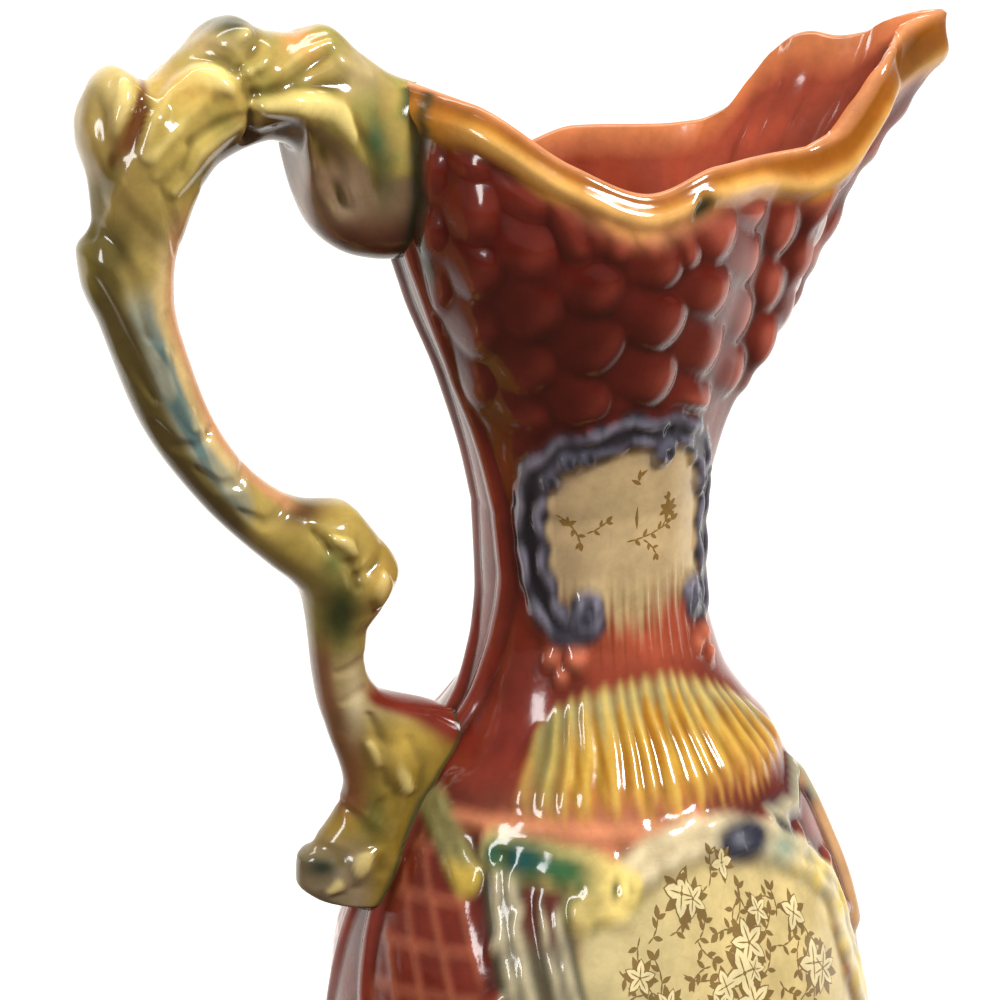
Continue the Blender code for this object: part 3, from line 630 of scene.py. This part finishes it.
lining = np.zeros(inside.shape) + linear("#96402B")
lining = paint(lining, 0.5 * speckle(inside[..., 1], inside[..., 2], 22, 6), "#A84E34")
inner_side = np.degrees(np.arctan2(inside[..., 0], np.abs(inside[..., 1])))
inner_below = inside[0, :, 2] - inside[..., 2]
lining = paint(lining, 0.8 * ease(9, 1, inner_below) * ease(30, 75, inner_side), "#C8862F")
lining = paint(lining, ease(1.2, 0.1, inner_below), "#C87848")
tints = body_glaze(side_angle, plain_rows[..., 2], below_lip, reaches, height_map)
foot_ring = outside[0] * (1 - FOOT_CHAMFER / FOOT_REACH)
recess = foot_ring * (0.9, 0.9, 1)
recess_top = recess * (0.985, 0.985, 1) + (0, 0, FOOT_RECESS)
crown = (outside[-1] + inside[0]) / 2 + (0, 0, LIP_ROUND)
rings = [recess_top, recess, foot_ring] + list(outside) + [crown] + list(inside)
bare = np.zeros((1,) + crown.shape)
rings_paint = np.concatenate((
    bare + linear("#C9B79C"), bare + linear("#C9B79C"), bare + linear("#B59878"), tints,
    bare + linear("#D08A5C"), lining))
opposite = COLUMNS // 2
halves = []
far_columns, near_columns = [*range(opposite + 1)], [*range(opposite, COLUMNS), 0]
for name, picked in (("ewer_far_half", far_columns), ("ewer_near_half", near_columns)):
    piece = skin(name, [ring[picked] for ring in rings], rings_paint[:, picked])
    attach(piece, "root")
    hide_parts("ewer")
    halves.append(piece)


# Handle: white earthenware pressed in a mould as an acanthus scroll, luted to the neck and the shoulder,
# with veins cut between its lobes and painted glazes run together over it.
HANDLE_RINGS = 640
HANDLE_COLUMNS = 148
HANDLE_BITE = 2.2
BEHIND = -300.0

# Points of its outer edge and its inner edge in the plane of symmetry, as x and height, and half its width
# there. Both ends run on past the wall and are stopped inside it.
HANDLE = (
    (-36, 367.2, -36, 329.2, 12), (-51.9, 372.5, -53.8, 328.1, 13), (-59.8, 378.1, -62.8, 329.7, 13.5),
    (-69.2, 385, -73.6, 337.9, 13.5), (-75.7, 383.5, -76.3, 345.9, 14),
    (-82.6, 384.5, -76.8, 355.4, 14.5), (-90.6, 388.2, -83.2, 359, 15),
    (-103.7, 380.4, -95.8, 354.8, 13.5), (-111.4, 374.9, -99.9, 350.4, 13.5),
    (-118.8, 378.6, -102.7, 345.9, 14.5), (-125.5, 373, -104.8, 341, 15),
    (-128.1, 362.9, -106.7, 336, 14), (-126.3, 352.4, -107.7, 331.6, 12),
    (-126.1, 344.4, -108.1, 327.6, 11), (-129.9, 336.5, -108.2, 323.3, 11),
    (-129.4, 329.5, -107.8, 319.1, 11), (-126, 319.4, -106.3, 312.6, 10.3),
    (-117.5, 293.9, -100.1, 293.5, 9.2), (-103.5, 271.7, -90.1, 278.4, 9), (-87.9, 254.8, -77.1, 270, 10),
    (-82.8, 250, -68.1, 268.5, 11.5), (-80.2, 246.4, -60.8, 260.4, 12),
    (-79.2, 242.9, -54.8, 249.9, 11.5), (-78.7, 238.4, -58.7, 241.5, 9.5),
    (-78.3, 233.3, -63.6, 234.6, 8.2), (-77.8, 225.4, -64.4, 225.7, 7.8), (-76.8, 217, -61, 218.1, 8),
    (-74.4, 207.5, -44, 210.4, 8.5), (-70.7, 193, -32, 200.7, 9.5), (-72.8, 186.6, -32, 188.8, 9),
    (-79, 178.8, -32, 179.9, 9), (-84.1, 174.4, -36, 171, 9), (-84.6, 168.4, -40, 163.2, 8.5),
    (-80.8, 163.5, -54.5, 158.4, 8), (-74.4, 161.4, -64.5, 157.1, 5))

# Valleys and swellings on both sides of it: points along each, width, and depth or height
VEINS = (
    (((-113, 375), (-114.5, 373.5), (-116.5, 369), (-119, 365), (-122, 359.5), (-124, 355),
      (-126, 348.5), (-127.5, 341)), 6.5, 2.6),
    (((-125, 374), (-124.1, 369), (-123.8, 363), (-124.3, 357)), 4.6, 1.2),
    (((-129, 366), (-127.6, 362), (-126.6, 355)), 4.2, 1.0),
    (((-114, 370), (-111, 373.2), (-107.5, 377), (-103.5, 379.6), (-98.8, 380.5), (-95.5, 379),
      (-93.8, 375.4), (-91.5, 372), (-90.3, 368), (-90, 361)), 6.0, 2.2),
    (((-93, 378), (-88, 382.5), (-85.5, 386)), 5.4, 1.6),
    (((-76, 383.5), (-83.4, 379.3), (-90, 374.5)), 5.4, 1.5),
    (((-70, 379.5), (-77.7, 376.2), (-83.7, 374.2), (-90, 372)), 5.4, 1.5),
    (((-66, 373), (-75, 372), (-82, 371.2), (-90, 370.5)), 4.6, 1.2),
    (((-91, 361), (-81, 361.8), (-74.5, 358.5), (-70.5, 353), (-69, 343)), 7.0, 1.5),
    (((-102, 372.5), (-109, 368.6), (-112.4, 365.3), (-116, 360)), 5.6, 1.4),
    (((-92, 366.5), (-98.7, 364.8), (-104.7, 361.5), (-108, 355)), 5.0, 1.3),
    (((-74, 357), (-73.5, 350), (-67, 343)), 4.6, 1.2),
    (((-66, 364), (-62, 356), (-61, 346)), 4.6, 1.4),
    (((-113, 352), (-110, 344), (-109, 336)), 4.4, 0.8),
    (((-125, 342), (-120, 331), (-117, 317)), 5.0, 1.1),
    (((-128, 331), (-123.5, 318), (-116, 302)), 5.0, 1.3),
    (((-112, 322), (-110, 306), (-103, 292)), 4.0, 0.7),
    (((-116, 296), (-112, 290), (-107, 289), (-102, 293)), 4.4, 1.0),
    (((-107, 284), (-102, 279), (-97, 279), (-93, 284)), 4.4, 1.0),
    (((-97, 272), (-91, 268), (-84, 272)), 4.4, 0.9),
    (((-79, 265), (-75, 260), (-70, 256), (-69, 249)), 5.2, 1.8),
    (((-69, 252), (-64, 254), (-59, 258)), 4.4, 1.5),
    (((-74, 226), (-66, 228), (-60, 226)), 4.2, 0.8),
    (((-73, 218), (-66, 221)), 4.0, 0.6),
    (((-66, 214), (-62, 204), (-60, 194), (-61, 184)), 4.6, 1.1),
    (((-72, 188), (-66, 180), (-64, 170)), 4.8, 1.2),
    (((-56, 206), (-52, 198), (-56, 184), (-59, 174)), 4.4, 1.0),
    (((-63, 199), (-62, 193)), 2.6, 1.6),
    (((-63.5, 190), (-65, 185)), 2.6, 1.4),
    (((-82, 179), (-75, 176), (-72, 167)), 4.8, 1.3))
SWELLS = (
    (((-115, 360), (-108, 370), (-101, 376), (-95.5, 374)), 13, 2.3),
    (((-110, 351), (-103, 360), (-94, 365)), 8, 1.4),
    (((-114.4, 355), (-107, 360.5)), 6, 1.2),
    (((-89, 368.8), (-80.6, 369), (-74.6, 368), (-70, 366), (-66.5, 360)), 8.5, 2.4),
    (((-107, 380), (-98, 385), (-89, 385)), 8, 1.4),
    (((-88, 377), (-80, 381.5), (-73, 384)), 6, 1.3),
    (((-88, 373.4), (-78, 378.5), (-69, 381.5)), 5, 1.2),
    (((-68, 378), (-60, 373)), 7, 1.0),
    (((-118.5, 376), (-121, 364), (-124, 350)), 7, 1.4),
    (((-127.5, 372), (-128, 358)), 5, 0.9),
    (((-106, 338), (-103, 350)), 7, 1.0),
    (((-74, 262), (-70, 258)), 9, 1.8),
    (((-62, 251), (-63, 244)), 9, 1.8),
    (((-66, 206), (-56, 192)), 9, 1.4),
    (((-66, 176), (-78, 167)), 9, 1.5),
    (((-113, 314), (-107, 294)), 7, 1.0))


def handle_stroke(x, z, points, width, height):
    """Stroke in the handle's own plane, where its points are millimetres both ways."""
    return stroke(np.radians(x), z, 180 / pi, points, width, height, taper=0.55)


def dab(x, z, at_x, at_z, wide, tall):
    """Soft oval patch at a place on the handle."""
    return np.exp(-((x - at_x) / wide) ** 2 - ((z - at_z) / tall) ** 2)


def body_tree(outside):
    """The carved outside as a surface that rays can hit."""
    rows, count = outside.shape[:2]
    points = [Vector(p) for p in outside.reshape(-1, 3)]
    faces = []
    for i in range(rows - 1):
        for k in range(count):
            n = (k + 1) % count
            faces.append((i * count + k, i * count + n, (i + 1) * count + n, (i + 1) * count + k))
    return BVHTree.FromPolygons(points, faces)


def wall_x(point, wall):
    """Where the body's surface lies in front of the point, seen from behind the handle."""
    hit = wall.ray_cast(Vector((BEHIND, point[1], point[2])), Vector((1, 0, 0)))[0]
    return hit.x if hit is not None else 1e3


def stop_in_wall(point, wall):
    """The point, brought back to where the handle ends inside the back wall if it lies further in."""
    back = wall_x(point, wall)
    if back < -10 and point[0] > back + HANDLE_BITE:
        return np.array((back + HANDLE_BITE, point[1], point[2]))
    return point


def handle_glaze(x, z, edge, facing, height):
    """Colours of the handle; edge is -1 on its inner side and 1 on its back, and facing is 1 looking up."""
    cavity = height - blurred(height, 14, 2)
    stem = ease(350, 338, z) * ease(-92, -98, x)
    low_stem = ease(262, 250, z) * ease(-86, -82, x)
    arm_low = np.interp(x, (-104, -96, -88, -80, -74, -70, -66, -60),
                        (350, 360, 364.5, 366, 364, 361, 357, 350))
    under = ease(arm_low + 1.5, arm_low - 2.5, z) * ease(-108, -96, x) * ease(318, 324, z)
    colour = np.zeros(x.shape + (3,)) + linear("#9C8540")
    colour = paint(colour, 0.6 * speckle(x, z, 9, 11), "#BDA258")
    colour = paint(colour, 0.6 * ease(0.4, 0.8, speckle(x, z, 6, 3)) * ease(-116, -100, x)
                   * ease(345, 360, z), "#85843C")
    colour = paint(colour, 0.7 * ease(-113, -119, x) * ease(340, 352, z), "#A2864C")
    colour = paint(colour, 0.8 * dab(x, z, -120, 375, 5, 5), "#D6BE7A")
    colour = paint(colour, 0.9 * dab(x, z, -103, 374, 9, 6), "#DFB65E")
    # Painted highlight on the main lobe.
    colour = paint(colour, 0.9 * dab(x, z, -98, 377, 4.5, 3.2), "#F2DC88")
    colour = paint(colour, 0.8 * dab(x, z, -103, 362, 6, 4), "#C8AE5C")
    colour = paint(colour, 0.8 * dab(x, z, -100, 384, 9, 3.5), "#CBAF7C")
    colour = paint(colour, 1.0 * dab(x, z, -92, 386.5, 6, 4), "#4C4B30")
    colour = paint(colour, 0.8 * dab(x, z, -80, 379, 9, 5), "#AC914C")
    colour = paint(colour, 0.7 * dab(x, z, -76, 382, 4, 3), "#D88446")
    colour = paint(colour, 0.8 * dab(x, z, -62, 375, 7, 6), "#B29E72")
    # The arm's underside and its hanging lobe: purple-brown glaze, darkened as painted shade under the arm.
    colour = paint(colour, under, "#66502F")
    colour = paint(colour, under * ease(358, 350, z), "#80644A")
    # Painted highlight on the hanging lobe.
    colour = paint(colour, 0.7 * under * dab(x, z, -68, 344, 4, 7), "#A08A70")
    colour = paint(colour, under * ease(343, 334, z), "#6E342A")
    # Cream ridge along the arm's lower edge, brightened as painted highlight.
    ridge = handle_stroke(x, z, ((-90, 369), (-80.6, 369.4), (-74.6, 368.6), (-70, 366.4), (-66, 361)), 7,
                          1.0)
    colour = paint(colour, 0.9 * ridge, "#EED67E")
    colour = paint(colour, 0.8 * dab(x, z, -59, 352, 4, 12), "#4A4A2A")
    colour = paint(colour, 0.8 * dab(x, z, -61, 359, 2.5, 5), "#2E5A3C")
    colour = paint(colour, 0.6 * stem, "#9C8750")
    colour = paint(colour, 0.9 * stem * ease(332, 322, z) * ease(-0.6, -0.25, edge)
                   * ease(0.6, 0.2, edge), "#8B8E7E")
    streak = ease(0.35, 0.75, speckle(x + 0.4 * z, z * 0.35, 4, 9))
    colour = paint(colour, 0.8 * stem * streak * ease(322, 312, z) * ease(-0.5, -0.2, edge)
                   * ease(0.4, 0.1, edge), "#48686A")
    # Back edge of the stem dark olive-brown: partly its glaze, partly painted shade.
    colour = paint(colour, 0.9 * stem * ease(0.05, 0.5, edge), "#544820")
    colour = paint(colour, 0.8 * stem * ease(-0.2, -0.5, edge) * ease(350, 330, z), "#D6B87C")
    colour = paint(colour, 0.9 * ease(-0.5, -0.8, edge) * ease(352, 335, z) * ease(264, 272, z)
                   * ease(-78, -84, x), "#C68E62")
    colour = paint(colour, 0.8 * stem * ease(290, 274, z) * ease(0.3, -0.1, edge), "#B2A47A")
    colour = paint(colour, 0.8 * dab(x, z, -130, 333, 2, 7), "#94803A")
    colour = paint(colour, 0.85 * dab(x, z, -72, 262, 6, 5), "#A68B44")
    colour = paint(colour, 0.9 * dab(x, z, -61, 249, 6, 8), "#AC8640")
    colour = paint(colour, 1.05 * low_stem * dab(x, z, -73, 242, 6, 14), "#303A18")
    colour = paint(colour, 0.85 * low_stem * ease(234, 227, z) * ease(206, 216, z), "#947E56")
    colour = paint(colour, 0.9 * low_stem * ease(212, 204, z), "#7E6422")
    colour = paint(colour, 0.8 * dab(x, z, -58, 204, 8, 6), "#C2A24C")
    colour = paint(colour, 0.7 * dab(x, z, -63, 202, 3, 7), "#86703A")
    colour = paint(colour, 0.75 * dab(x, z, -66, 186, 4, 8), "#4E5426")
    colour = paint(colour, 0.85 * ease(184, 174, z) * ease(-64, -72, x), "#82725A")
    colour = paint(colour, 0.95 * dab(x, z, -79.5, 173.5, 4.5, 3), "#2A3426")
    colour = paint(colour, ease(-0.2, -0.6, edge) * ease(224, 217, z) * ease(198, 204, z), "#70281A")
    colour = paint(colour, 0.9 * dab(x, z, -80, 269, 8, 2.8), "#4E3020")
    colour = paint(colour, 0.8 * ease(0.35, 0.8, edge) * ease(240, 228, z) * ease(182, 190, z)
                   * ease(-64, -70, x), "#74402A")
    # Painted highlight: a cream-grey streak of light on the lower stem.
    colour = paint(colour, 0.8 * dab(x, z, -69.5, 217, 2.5, 9), "#C4B28A")
    colour = paint(colour, 0.8 * dab(x, z, -75, 257, 3.5, 5), "#566030")
    groove = handle_stroke(x, z, VEINS[0][0], 6, 1.0)
    colour = paint(colour, groove * ease(354, 364, z), "#7C4824")
    colour = paint(colour, 0.8 * groove * ease(362, 352, z), "#62561F")
    # Handle paler on its crests and darker in its hollows: partly thin and pooled glaze, partly painted
    # highlight and painted shade.
    colour = paint(colour, 0.5 * ease(0.2, 0.8, cavity), "#ECD488")
    colour = paint(colour, 0.75 * ease(-0.15, -0.9, cavity), "#5C4C1C")
    colour = paint(colour, 0.8 * ease(-0.3, -0.9, cavity) * ease(-111, -116, x) * ease(352, 362, z),
                   "#6A381C")
    # Painted shade on the parts of the handle that face down.
    return paint(colour, 0.75 * ease(-0.1, -0.75, facing), "#4A3622")


shape = np.array(HANDLE, float)
mids = (shape[:, 0:2] + shape[:, 2:4]) / 2
travel = np.concatenate(([0], np.cumsum(np.hypot(*np.diff(mids, axis=0).T))))
at = np.linspace(0, travel[-1], HANDLE_RINGS)
outer_x, outer_z, inner_x, inner_z, half = [curve(np.stack([travel, c], 1), at)[:, None] for c in shape.T]
turn = np.linspace(0, 2 * pi, HANDLE_COLUMNS, endpoint=False)[None]
swing = np.sign(np.sin(turn)) * np.abs(np.sin(turn)) ** 0.85
handle_rings = np.stack([
    (outer_x + inner_x) / 2 + np.cos(turn) * (outer_x - inner_x) / 2, half * swing,
    (outer_z + inner_z) / 2 + np.cos(turn) * (outer_z - inner_z) / 2], 2)
ahead = np.gradient(handle_rings, axis=0)
round_about = np.roll(handle_rings, -1, 1) - np.roll(handle_rings, 1, 1)
normal = np.cross(round_about, ahead)
normal /= np.maximum(np.linalg.norm(normal, axis=2), 1e-9)[..., None]
outward = handle_rings - handle_rings.mean(axis=1, keepdims=True)
normal *= np.sign((normal * outward).sum(axis=2).mean())
handle_x, handle_z = handle_rings[..., 0], handle_rings[..., 2]
cut = np.zeros(handle_x.shape)
for points, width, tall in SWELLS:
    cut = np.maximum(cut, handle_stroke(handle_x, handle_z, points, width, tall))
for points, width, deep in VEINS:
    cut = cut - handle_stroke(handle_x, handle_z, points, width, deep)
cut = cut * np.abs(normal[..., 1]) ** 0.8
cut = blurred(np.minimum(cut, 1.8), 2, 1)
handle_tints = handle_glaze(handle_x, handle_z, np.cos(turn) + 0 * handle_x, normal[..., 2], cut)
handle_rings = handle_rings + normal * cut[..., None]
wall = body_tree(outside)
handle_rings = np.array([[stop_in_wall(p, wall) for p in ring] for ring in handle_rings])
buried = handle_rings[..., 0] - np.array([[wall_x(p, wall) for p in ring] for ring in handle_rings])
seam_width = 1.0 + 1.2 * ease(240, 320, handle_z)
handle_tints = paint(handle_tints, 0.85 * np.exp(-((buried + 0.5) / seam_width) ** 2), "#2C3522")
handle_rings = np.concatenate((handle_rings, handle_rings[:, :1]), 1)
handle_tints = np.concatenate((handle_tints, handle_tints[:, :1]), 1)
handle = skin("ewer_handle", list(handle_rings), handle_tints)
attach(handle, "root")
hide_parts("ewer")


# Floral transfer under the glaze: a gold-brown print of star flowers, leaves and sprigs on the two cream
# fields of each side. It is flat in the real piece, so here it is films that stand 0.07 to 0.18 mm proud.
BELLY_PRINT_REACH = 70
NECK_PRINT_REACH = 29
PRINT_DEPTH = 0.3
PETAL_SHAPE = ((0, 0), (0.25, 0.8), (0.5, 1), (0.78, 0.62), (1, 0), (0.78, -0.62), (0.5, -1), (0.25, -0.8))


def petal(u, v, turned, long, wide):
    """Pointed petal or leaf, as an outline from its foot to its tip and back."""
    outline_points = []
    c, s = np.cos(turned), np.sin(turned)
    for along, across in PETAL_SHAPE:
        x, y = along * long, across * wide / 2
        outline_points.append((u + x * c - y * s, v + x * s + y * c))
    return outline_points


def flower(u, v, size, turned, petals=5):
    """Star flower: pale petals with a thin rib each, over a ring of brown leaves."""
    leaves, pale, ribs = [], [], [petal(u - 0.1 * size, v, 0, 0.2 * size, 0.2 * size)]
    for k in range(petals + 1):
        a = turned + 0.5 + 2 * pi * k / (petals + 1)
        leaves.append(petal(u, v, a, 1.25 * size, 0.5 * size))
    for k in range(petals):
        a = turned + 2 * pi * k / petals
        leaves.append(petal(u, v, a, 1.08 * size, 3.0 / petals * size))
        pale.append(petal(u, v, a, size, 2.5 / petals * size))
        ribs.append(petal(u, v, a, 0.7 * size, 0.07 * size))
    return leaves, pale, ribs


def sprig(u, v, turned, long, bend, leaf):
    """Stem with leaves on alternate sides and a bud at its tip."""
    brown, steps = [], max(3, int(long / (0.9 * leaf)))
    x, y, a = u, v, turned
    for k in range(steps):
        step = long / steps
        nx, ny = x + step * np.cos(a), y + step * np.sin(a)
        brown.append(petal(x, y, a, step * 1.15, 0.45))
        brown.append(petal(nx, ny, a + (0.9 if k % 2 else -0.9), leaf, 0.42 * leaf))
        x, y, a = nx, ny, a + bend / steps
    brown.append(petal(x, y, a, 1.1 * leaf, 0.6 * leaf))
    return brown


def film(name, outlines, reach, lift, tint):
    """Each outline laid on both sides of the body as a thin closed film; its foot is sunk in the glaze."""
    points, faces = [], []
    for mirror in (-1, 1):
        for flat in outlines:
            start, count = len(points), len(flat)
            ring = []
            for u, v in flat:
                a = u / reach - np.radians(np.interp(v, *zip(*CARVING_TURN)))
                way = Vector((np.sin(a), mirror * np.cos(a), 0))
                hit, away = wall.ray_cast(Vector((0, 0, v)) - way * BEHIND, -way)[:2]
                ring.append((hit, away if away.dot(way) > 0 else -away))
            points += [(p + n * lift) * MM for p, n in ring] + [(p - n * PRINT_DEPTH) * MM for p, n in ring]
            top, under = list(range(start, start + count)), list(range(start + count, start + 2 * count))
            sides = [(top[k - 1], top[k], under[k], under[k - 1]) for k in range(count)]
            new = [tuple(top), tuple(reversed(under))] + [tuple(reversed(s)) for s in sides]
            faces += [tuple(reversed(f)) for f in new] if mirror > 0 else new
    mesh = bpy.data.meshes.new(name)
    mesh.from_pydata([tuple(p) for p in points], [], faces)

    # The faces are laid pointing inwards: they are cut into triangles as laid, then turned outwards
    shell = bmesh.new()
    shell.from_mesh(mesh)
    bmesh.ops.triangulate(shell, faces=shell.faces[:], quad_method="FIXED", ngon_method="EAR_CLIP")
    bmesh.ops.reverse_faces(shell, faces=shell.faces[:])
    shell.to_mesh(mesh)
    shell.free()
    piece = bpy.data.objects.new(name, mesh)
    bpy.context.collection.objects.link(piece)
    paint_layer = mesh.color_attributes.new("paint", "FLOAT_COLOR", "POINT")
    paint_layer.data.foreach_set("color", np.tile((*linear(tint), 1.0), len(points)))
    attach(piece, "root")
    return piece


chance = np.random.default_rng(7)
brown, pale, ribs = [], [], []
for v in np.arange(90, 180, 6.0):
    for u in np.arange(-26, 54, 6.8):
        u0, v0 = u + chance.uniform(-3.4, 3.4), v + chance.uniform(-3, 3)
        degrees = np.degrees(u0 / BELLY_PRINT_REACH)
        kind, spin = chance.random(), chance.uniform(0, 2 * pi)
        inside_field = -15 < degrees < np.interp(v0, (92, 116, 145, 160, 172, 178), (34, 44, 38, 36, 25, 14))
        if not inside_field or (degrees < -3 and v0 > 166):
            continue
        if kind < 0.26:
            blossom = flower(u0, v0, chance.uniform(3.4, 6.4), spin, chance.integers(4, 7))
            for store, more in zip((brown, pale, ribs), blossom):
                store += more
        elif kind < 0.93:
            brown += sprig(u0 - 3 * np.cos(spin), v0 - 3 * np.sin(spin), spin, chance.uniform(6, 9), 0.9,
                           3.0)
        else:
            brown += [petal(u0, v0, spin + k, 2.6, 1.2) for k in range(4)]
films = [
    film("belly_print", brown, BELLY_PRINT_REACH, 0.07, "#80663A"),
    film("belly_petals", pale, BELLY_PRINT_REACH, 0.13, "#DCCB98"),
    film("belly_ribs", ribs, BELLY_PRINT_REACH, 0.18, "#86693A")]
brown = []
for placed in ((-20, 264, -0.5, 10, -0.9, 2.2), (-1, 256, 0.1, 15, 0.35, 2.4), (10, 258, 1.0, 8, 0.9, 2.2),
               (-12, 259, 0.3, 6, 0.5, 2.0), (4, 256, -0.6, 6, -0.6, 2.0)):
    brown += sprig(*placed)
brown += [petal(2, 259, 1.6, 6, 0.8)]
brown += [petal(1 + 0.6 * k, 273 - k, 0.6 + k, 3.2, 1.0) for k in range(3)]
brown += [petal(12, 263, 0.9 * k, 3.2, 1.5) for k in range(7)]
brown += [petal(-17, 261, 0.5 + k, 2.6, 1.0) for k in range(3)]
films.append(film("neck_print", brown, NECK_PRINT_REACH, 0.07, "#846430"))


# Lead glaze: soft clear majolica glaze, coloured in the pot, dipped and brushed over the biscuit and fired.
# Its painted colours are deeper in the hollows and paler on the crests, partly from the glaze pooled and
# thinned there and partly as painted shade and painted highlight; the glaze adds faint crazing and wet,
# sharp highlights.
CLOUD_SIZE = 9.0
CRAZING_SIZE = 4.5
RIPPLE_SIZE = 6.0
RIPPLE_HEIGHT = 0.3


def node(tree, kind, settings, links):
    """Add a node, set its values and link its inputs; a number picks an input whose name others share."""
    made = tree.nodes.new(kind)
    for name, value in settings.items():
        if str(name)[0].islower():
            setattr(made, name, value)
        else:
            made.inputs[name].default_value = value
    for name, source in links.items():
        tree.links.new(source, made.inputs[name])
    return made


def majolica():
    """The glaze: painted colour, clouded and crazed, under a clear rippled surface."""
    material = bpy.data.materials.new("majolica glaze")
    material.use_nodes = True
    tree = material.node_tree
    shader = tree.nodes["Principled BSDF"]
    place = node(tree, "ShaderNodeTexCoord", {}, {}).outputs["Object"]
    paint_node = node(tree, "ShaderNodeAttribute", {"attribute_name": "paint"}, {})
    cloud = node(tree, "ShaderNodeTexNoise", {"Scale": 1 / (CLOUD_SIZE * MM), "Detail": 4.0,
                                              "Roughness": 0.6}, {"Vector": place})
    level = node(tree, "ShaderNodeMapRange", {"From Min": 0.35, "From Max": 0.65, "To Min": 0.86,
                                              "To Max": 1.14},
                 {"Value": cloud.outputs["Fac"]})
    shade = node(tree, "ShaderNodeVectorMath", {"operation": "SCALE"},
                 {"Vector": paint_node.outputs["Color"], "Scale": level.outputs["Result"]})
    cells = node(tree, "ShaderNodeTexVoronoi",
                 {"feature": "DISTANCE_TO_EDGE", "Scale": 1 / (CRAZING_SIZE * MM)}, {"Vector": place})
    crack = node(tree, "ShaderNodeMapRange", {"From Min": 0.0, "From Max": 0.03, "To Min": 0.93,
                                              "To Max": 1.0},
                 {"Value": cells.outputs["Distance"]})
    crazed = node(tree, "ShaderNodeVectorMath", {"operation": "SCALE"},
                  {"Vector": shade.outputs["Vector"], "Scale": crack.outputs["Result"]})
    tree.links.new(crazed.outputs["Vector"], shader.inputs["Base Color"])
    ripple = node(tree, "ShaderNodeTexNoise", {"Scale": 1 / (RIPPLE_SIZE * MM), "Detail": 2.0},
                  {"Vector": place})
    bump = node(tree, "ShaderNodeBump", {"Strength": 0.35, "Distance": RIPPLE_HEIGHT * MM},
                {"Height": ripple.outputs["Fac"]})
    tree.links.new(bump.outputs["Normal"], shader.inputs["Normal"])
    shader.inputs["Roughness"].default_value = 0.13
    shader.inputs["IOR"].default_value = 1.5
    return material


glaze = majolica()
for piece in (*halves, handle, *films):
    piece.data.materials.append(glaze)


# Graduated paper sweep that the ewer stands on, brown where it stands and white behind it.
# It lies flat in front, curves up behind the ewer and runs on upwards. Its sizes are in metres.
SWEEP_WIDTH = 14.0
SWEEP_LENGTH = 12.0
SWEEP_FRONT = -4.0
BEND_START = 2.0
BEND_RADIUS = 1.5

bpy.ops.object.select_all(action="DESELECT")
bpy.ops.mesh.primitive_grid_add(x_subdivisions=2, y_subdivisions=60, size=1.0)
sweep = bpy.context.object
sweep.name = "paper_sweep"
for vertex in sweep.data.vertices:
    forward = (vertex.co.y + 0.5) * SWEEP_LENGTH + SWEEP_FRONT
    up = 0.0
    if forward > BEND_START:
        past = forward - BEND_START
        bend = min(past / BEND_RADIUS, pi / 2)
        up = BEND_RADIUS * (1 - np.cos(bend)) + max(0.0, past - BEND_RADIUS * pi / 2)
        forward = BEND_START + BEND_RADIUS * np.sin(bend)
    vertex.co = (vertex.co.x * SWEEP_WIDTH, forward, up)
bpy.ops.object.shade_smooth()
paper = bpy.data.materials.new("graduated paper")
paper.use_nodes = True
paper_tree = paper.node_tree
place = node(paper_tree, "ShaderNodeTexCoord", {}, {}).outputs["Object"]
away = (0.39, 0.92, 0.0)
depth = node(paper_tree, "ShaderNodeVectorMath", {"operation": "DOT_PRODUCT", 1: away}, {"Vector": place})
fade = node(paper_tree, "ShaderNodeMapRange", {"From Min": -0.05, "From Max": 0.17},
            {"Value": depth.outputs["Value"]})
near_tone, far_tone = (*linear("#5A4A3E"), 1), (*linear("#F4F1EC"), 1)
tone = node(paper_tree, "ShaderNodeMix", {"data_type": "RGBA", 6: near_tone, 7: far_tone},
            {"Factor": fade.outputs["Result"]})
paper_shader = paper_tree.nodes["Principled BSDF"]
paper_tree.links.new(tone.outputs[2], paper_shader.inputs["Base Color"])
paper_shader.inputs["Roughness"].default_value = 0.9
sweep.data.materials.append(paper)


# Soft studio light: a box over the front right, a weaker upright one on the left, a wide one that lights
# the paper behind, and an even pale room.
def softbox(name, place, target, size, power):
    """Rectangular lamp at a place in metres, aimed at a target, with its power in watts."""
    bpy.ops.object.light_add(type="AREA", location=place)
    lamp = bpy.context.object
    lamp.name = name
    lamp.data.shape = "RECTANGLE"
    lamp.data.size, lamp.data.size_y = size
    lamp.data.energy = power
    lamp.rotation_euler = (Vector(target) - Vector(place)).to_track_quat("-Z", "Y").to_euler()


softbox("front_box", (0.8, -1.1, 1.5), (0, 0, 0.25), (0.38, 0.38), 41)
softbox("left_box", (-1.3, -0.7, 0.9), (0, 0, 0.25), (0.3, 0.7), 11)
softbox("sweep_box", (0.0, 0.9, 3.0), (0, 3.2, 1.0), (4.0, 1.0), 135)
world = bpy.data.worlds.new("pale room")
world.use_nodes = True
world.node_tree.nodes["Background"].inputs["Color"].default_value = (*linear("#FFFDF8"), 1)
world.node_tree.nodes["Background"].inputs["Strength"].default_value = 0.24
bpy.context.scene.world = world


# Camera where the photographer stood: a little above the lip and behind the ewer's side, towards the handle,
# tipped down, and turned about a degree as the photo is.
bpy.ops.object.camera_add(location=(-0.2493, -0.5347, 0.440), rotation=np.radians((72.997, 1.096, -23.022)))
camera = bpy.context.object
camera.data.sensor_width = 36.0
camera.data.lens = 85.5
bpy.context.scene.camera = camera
bpy.context.scene.view_settings.view_transform = "Standard"
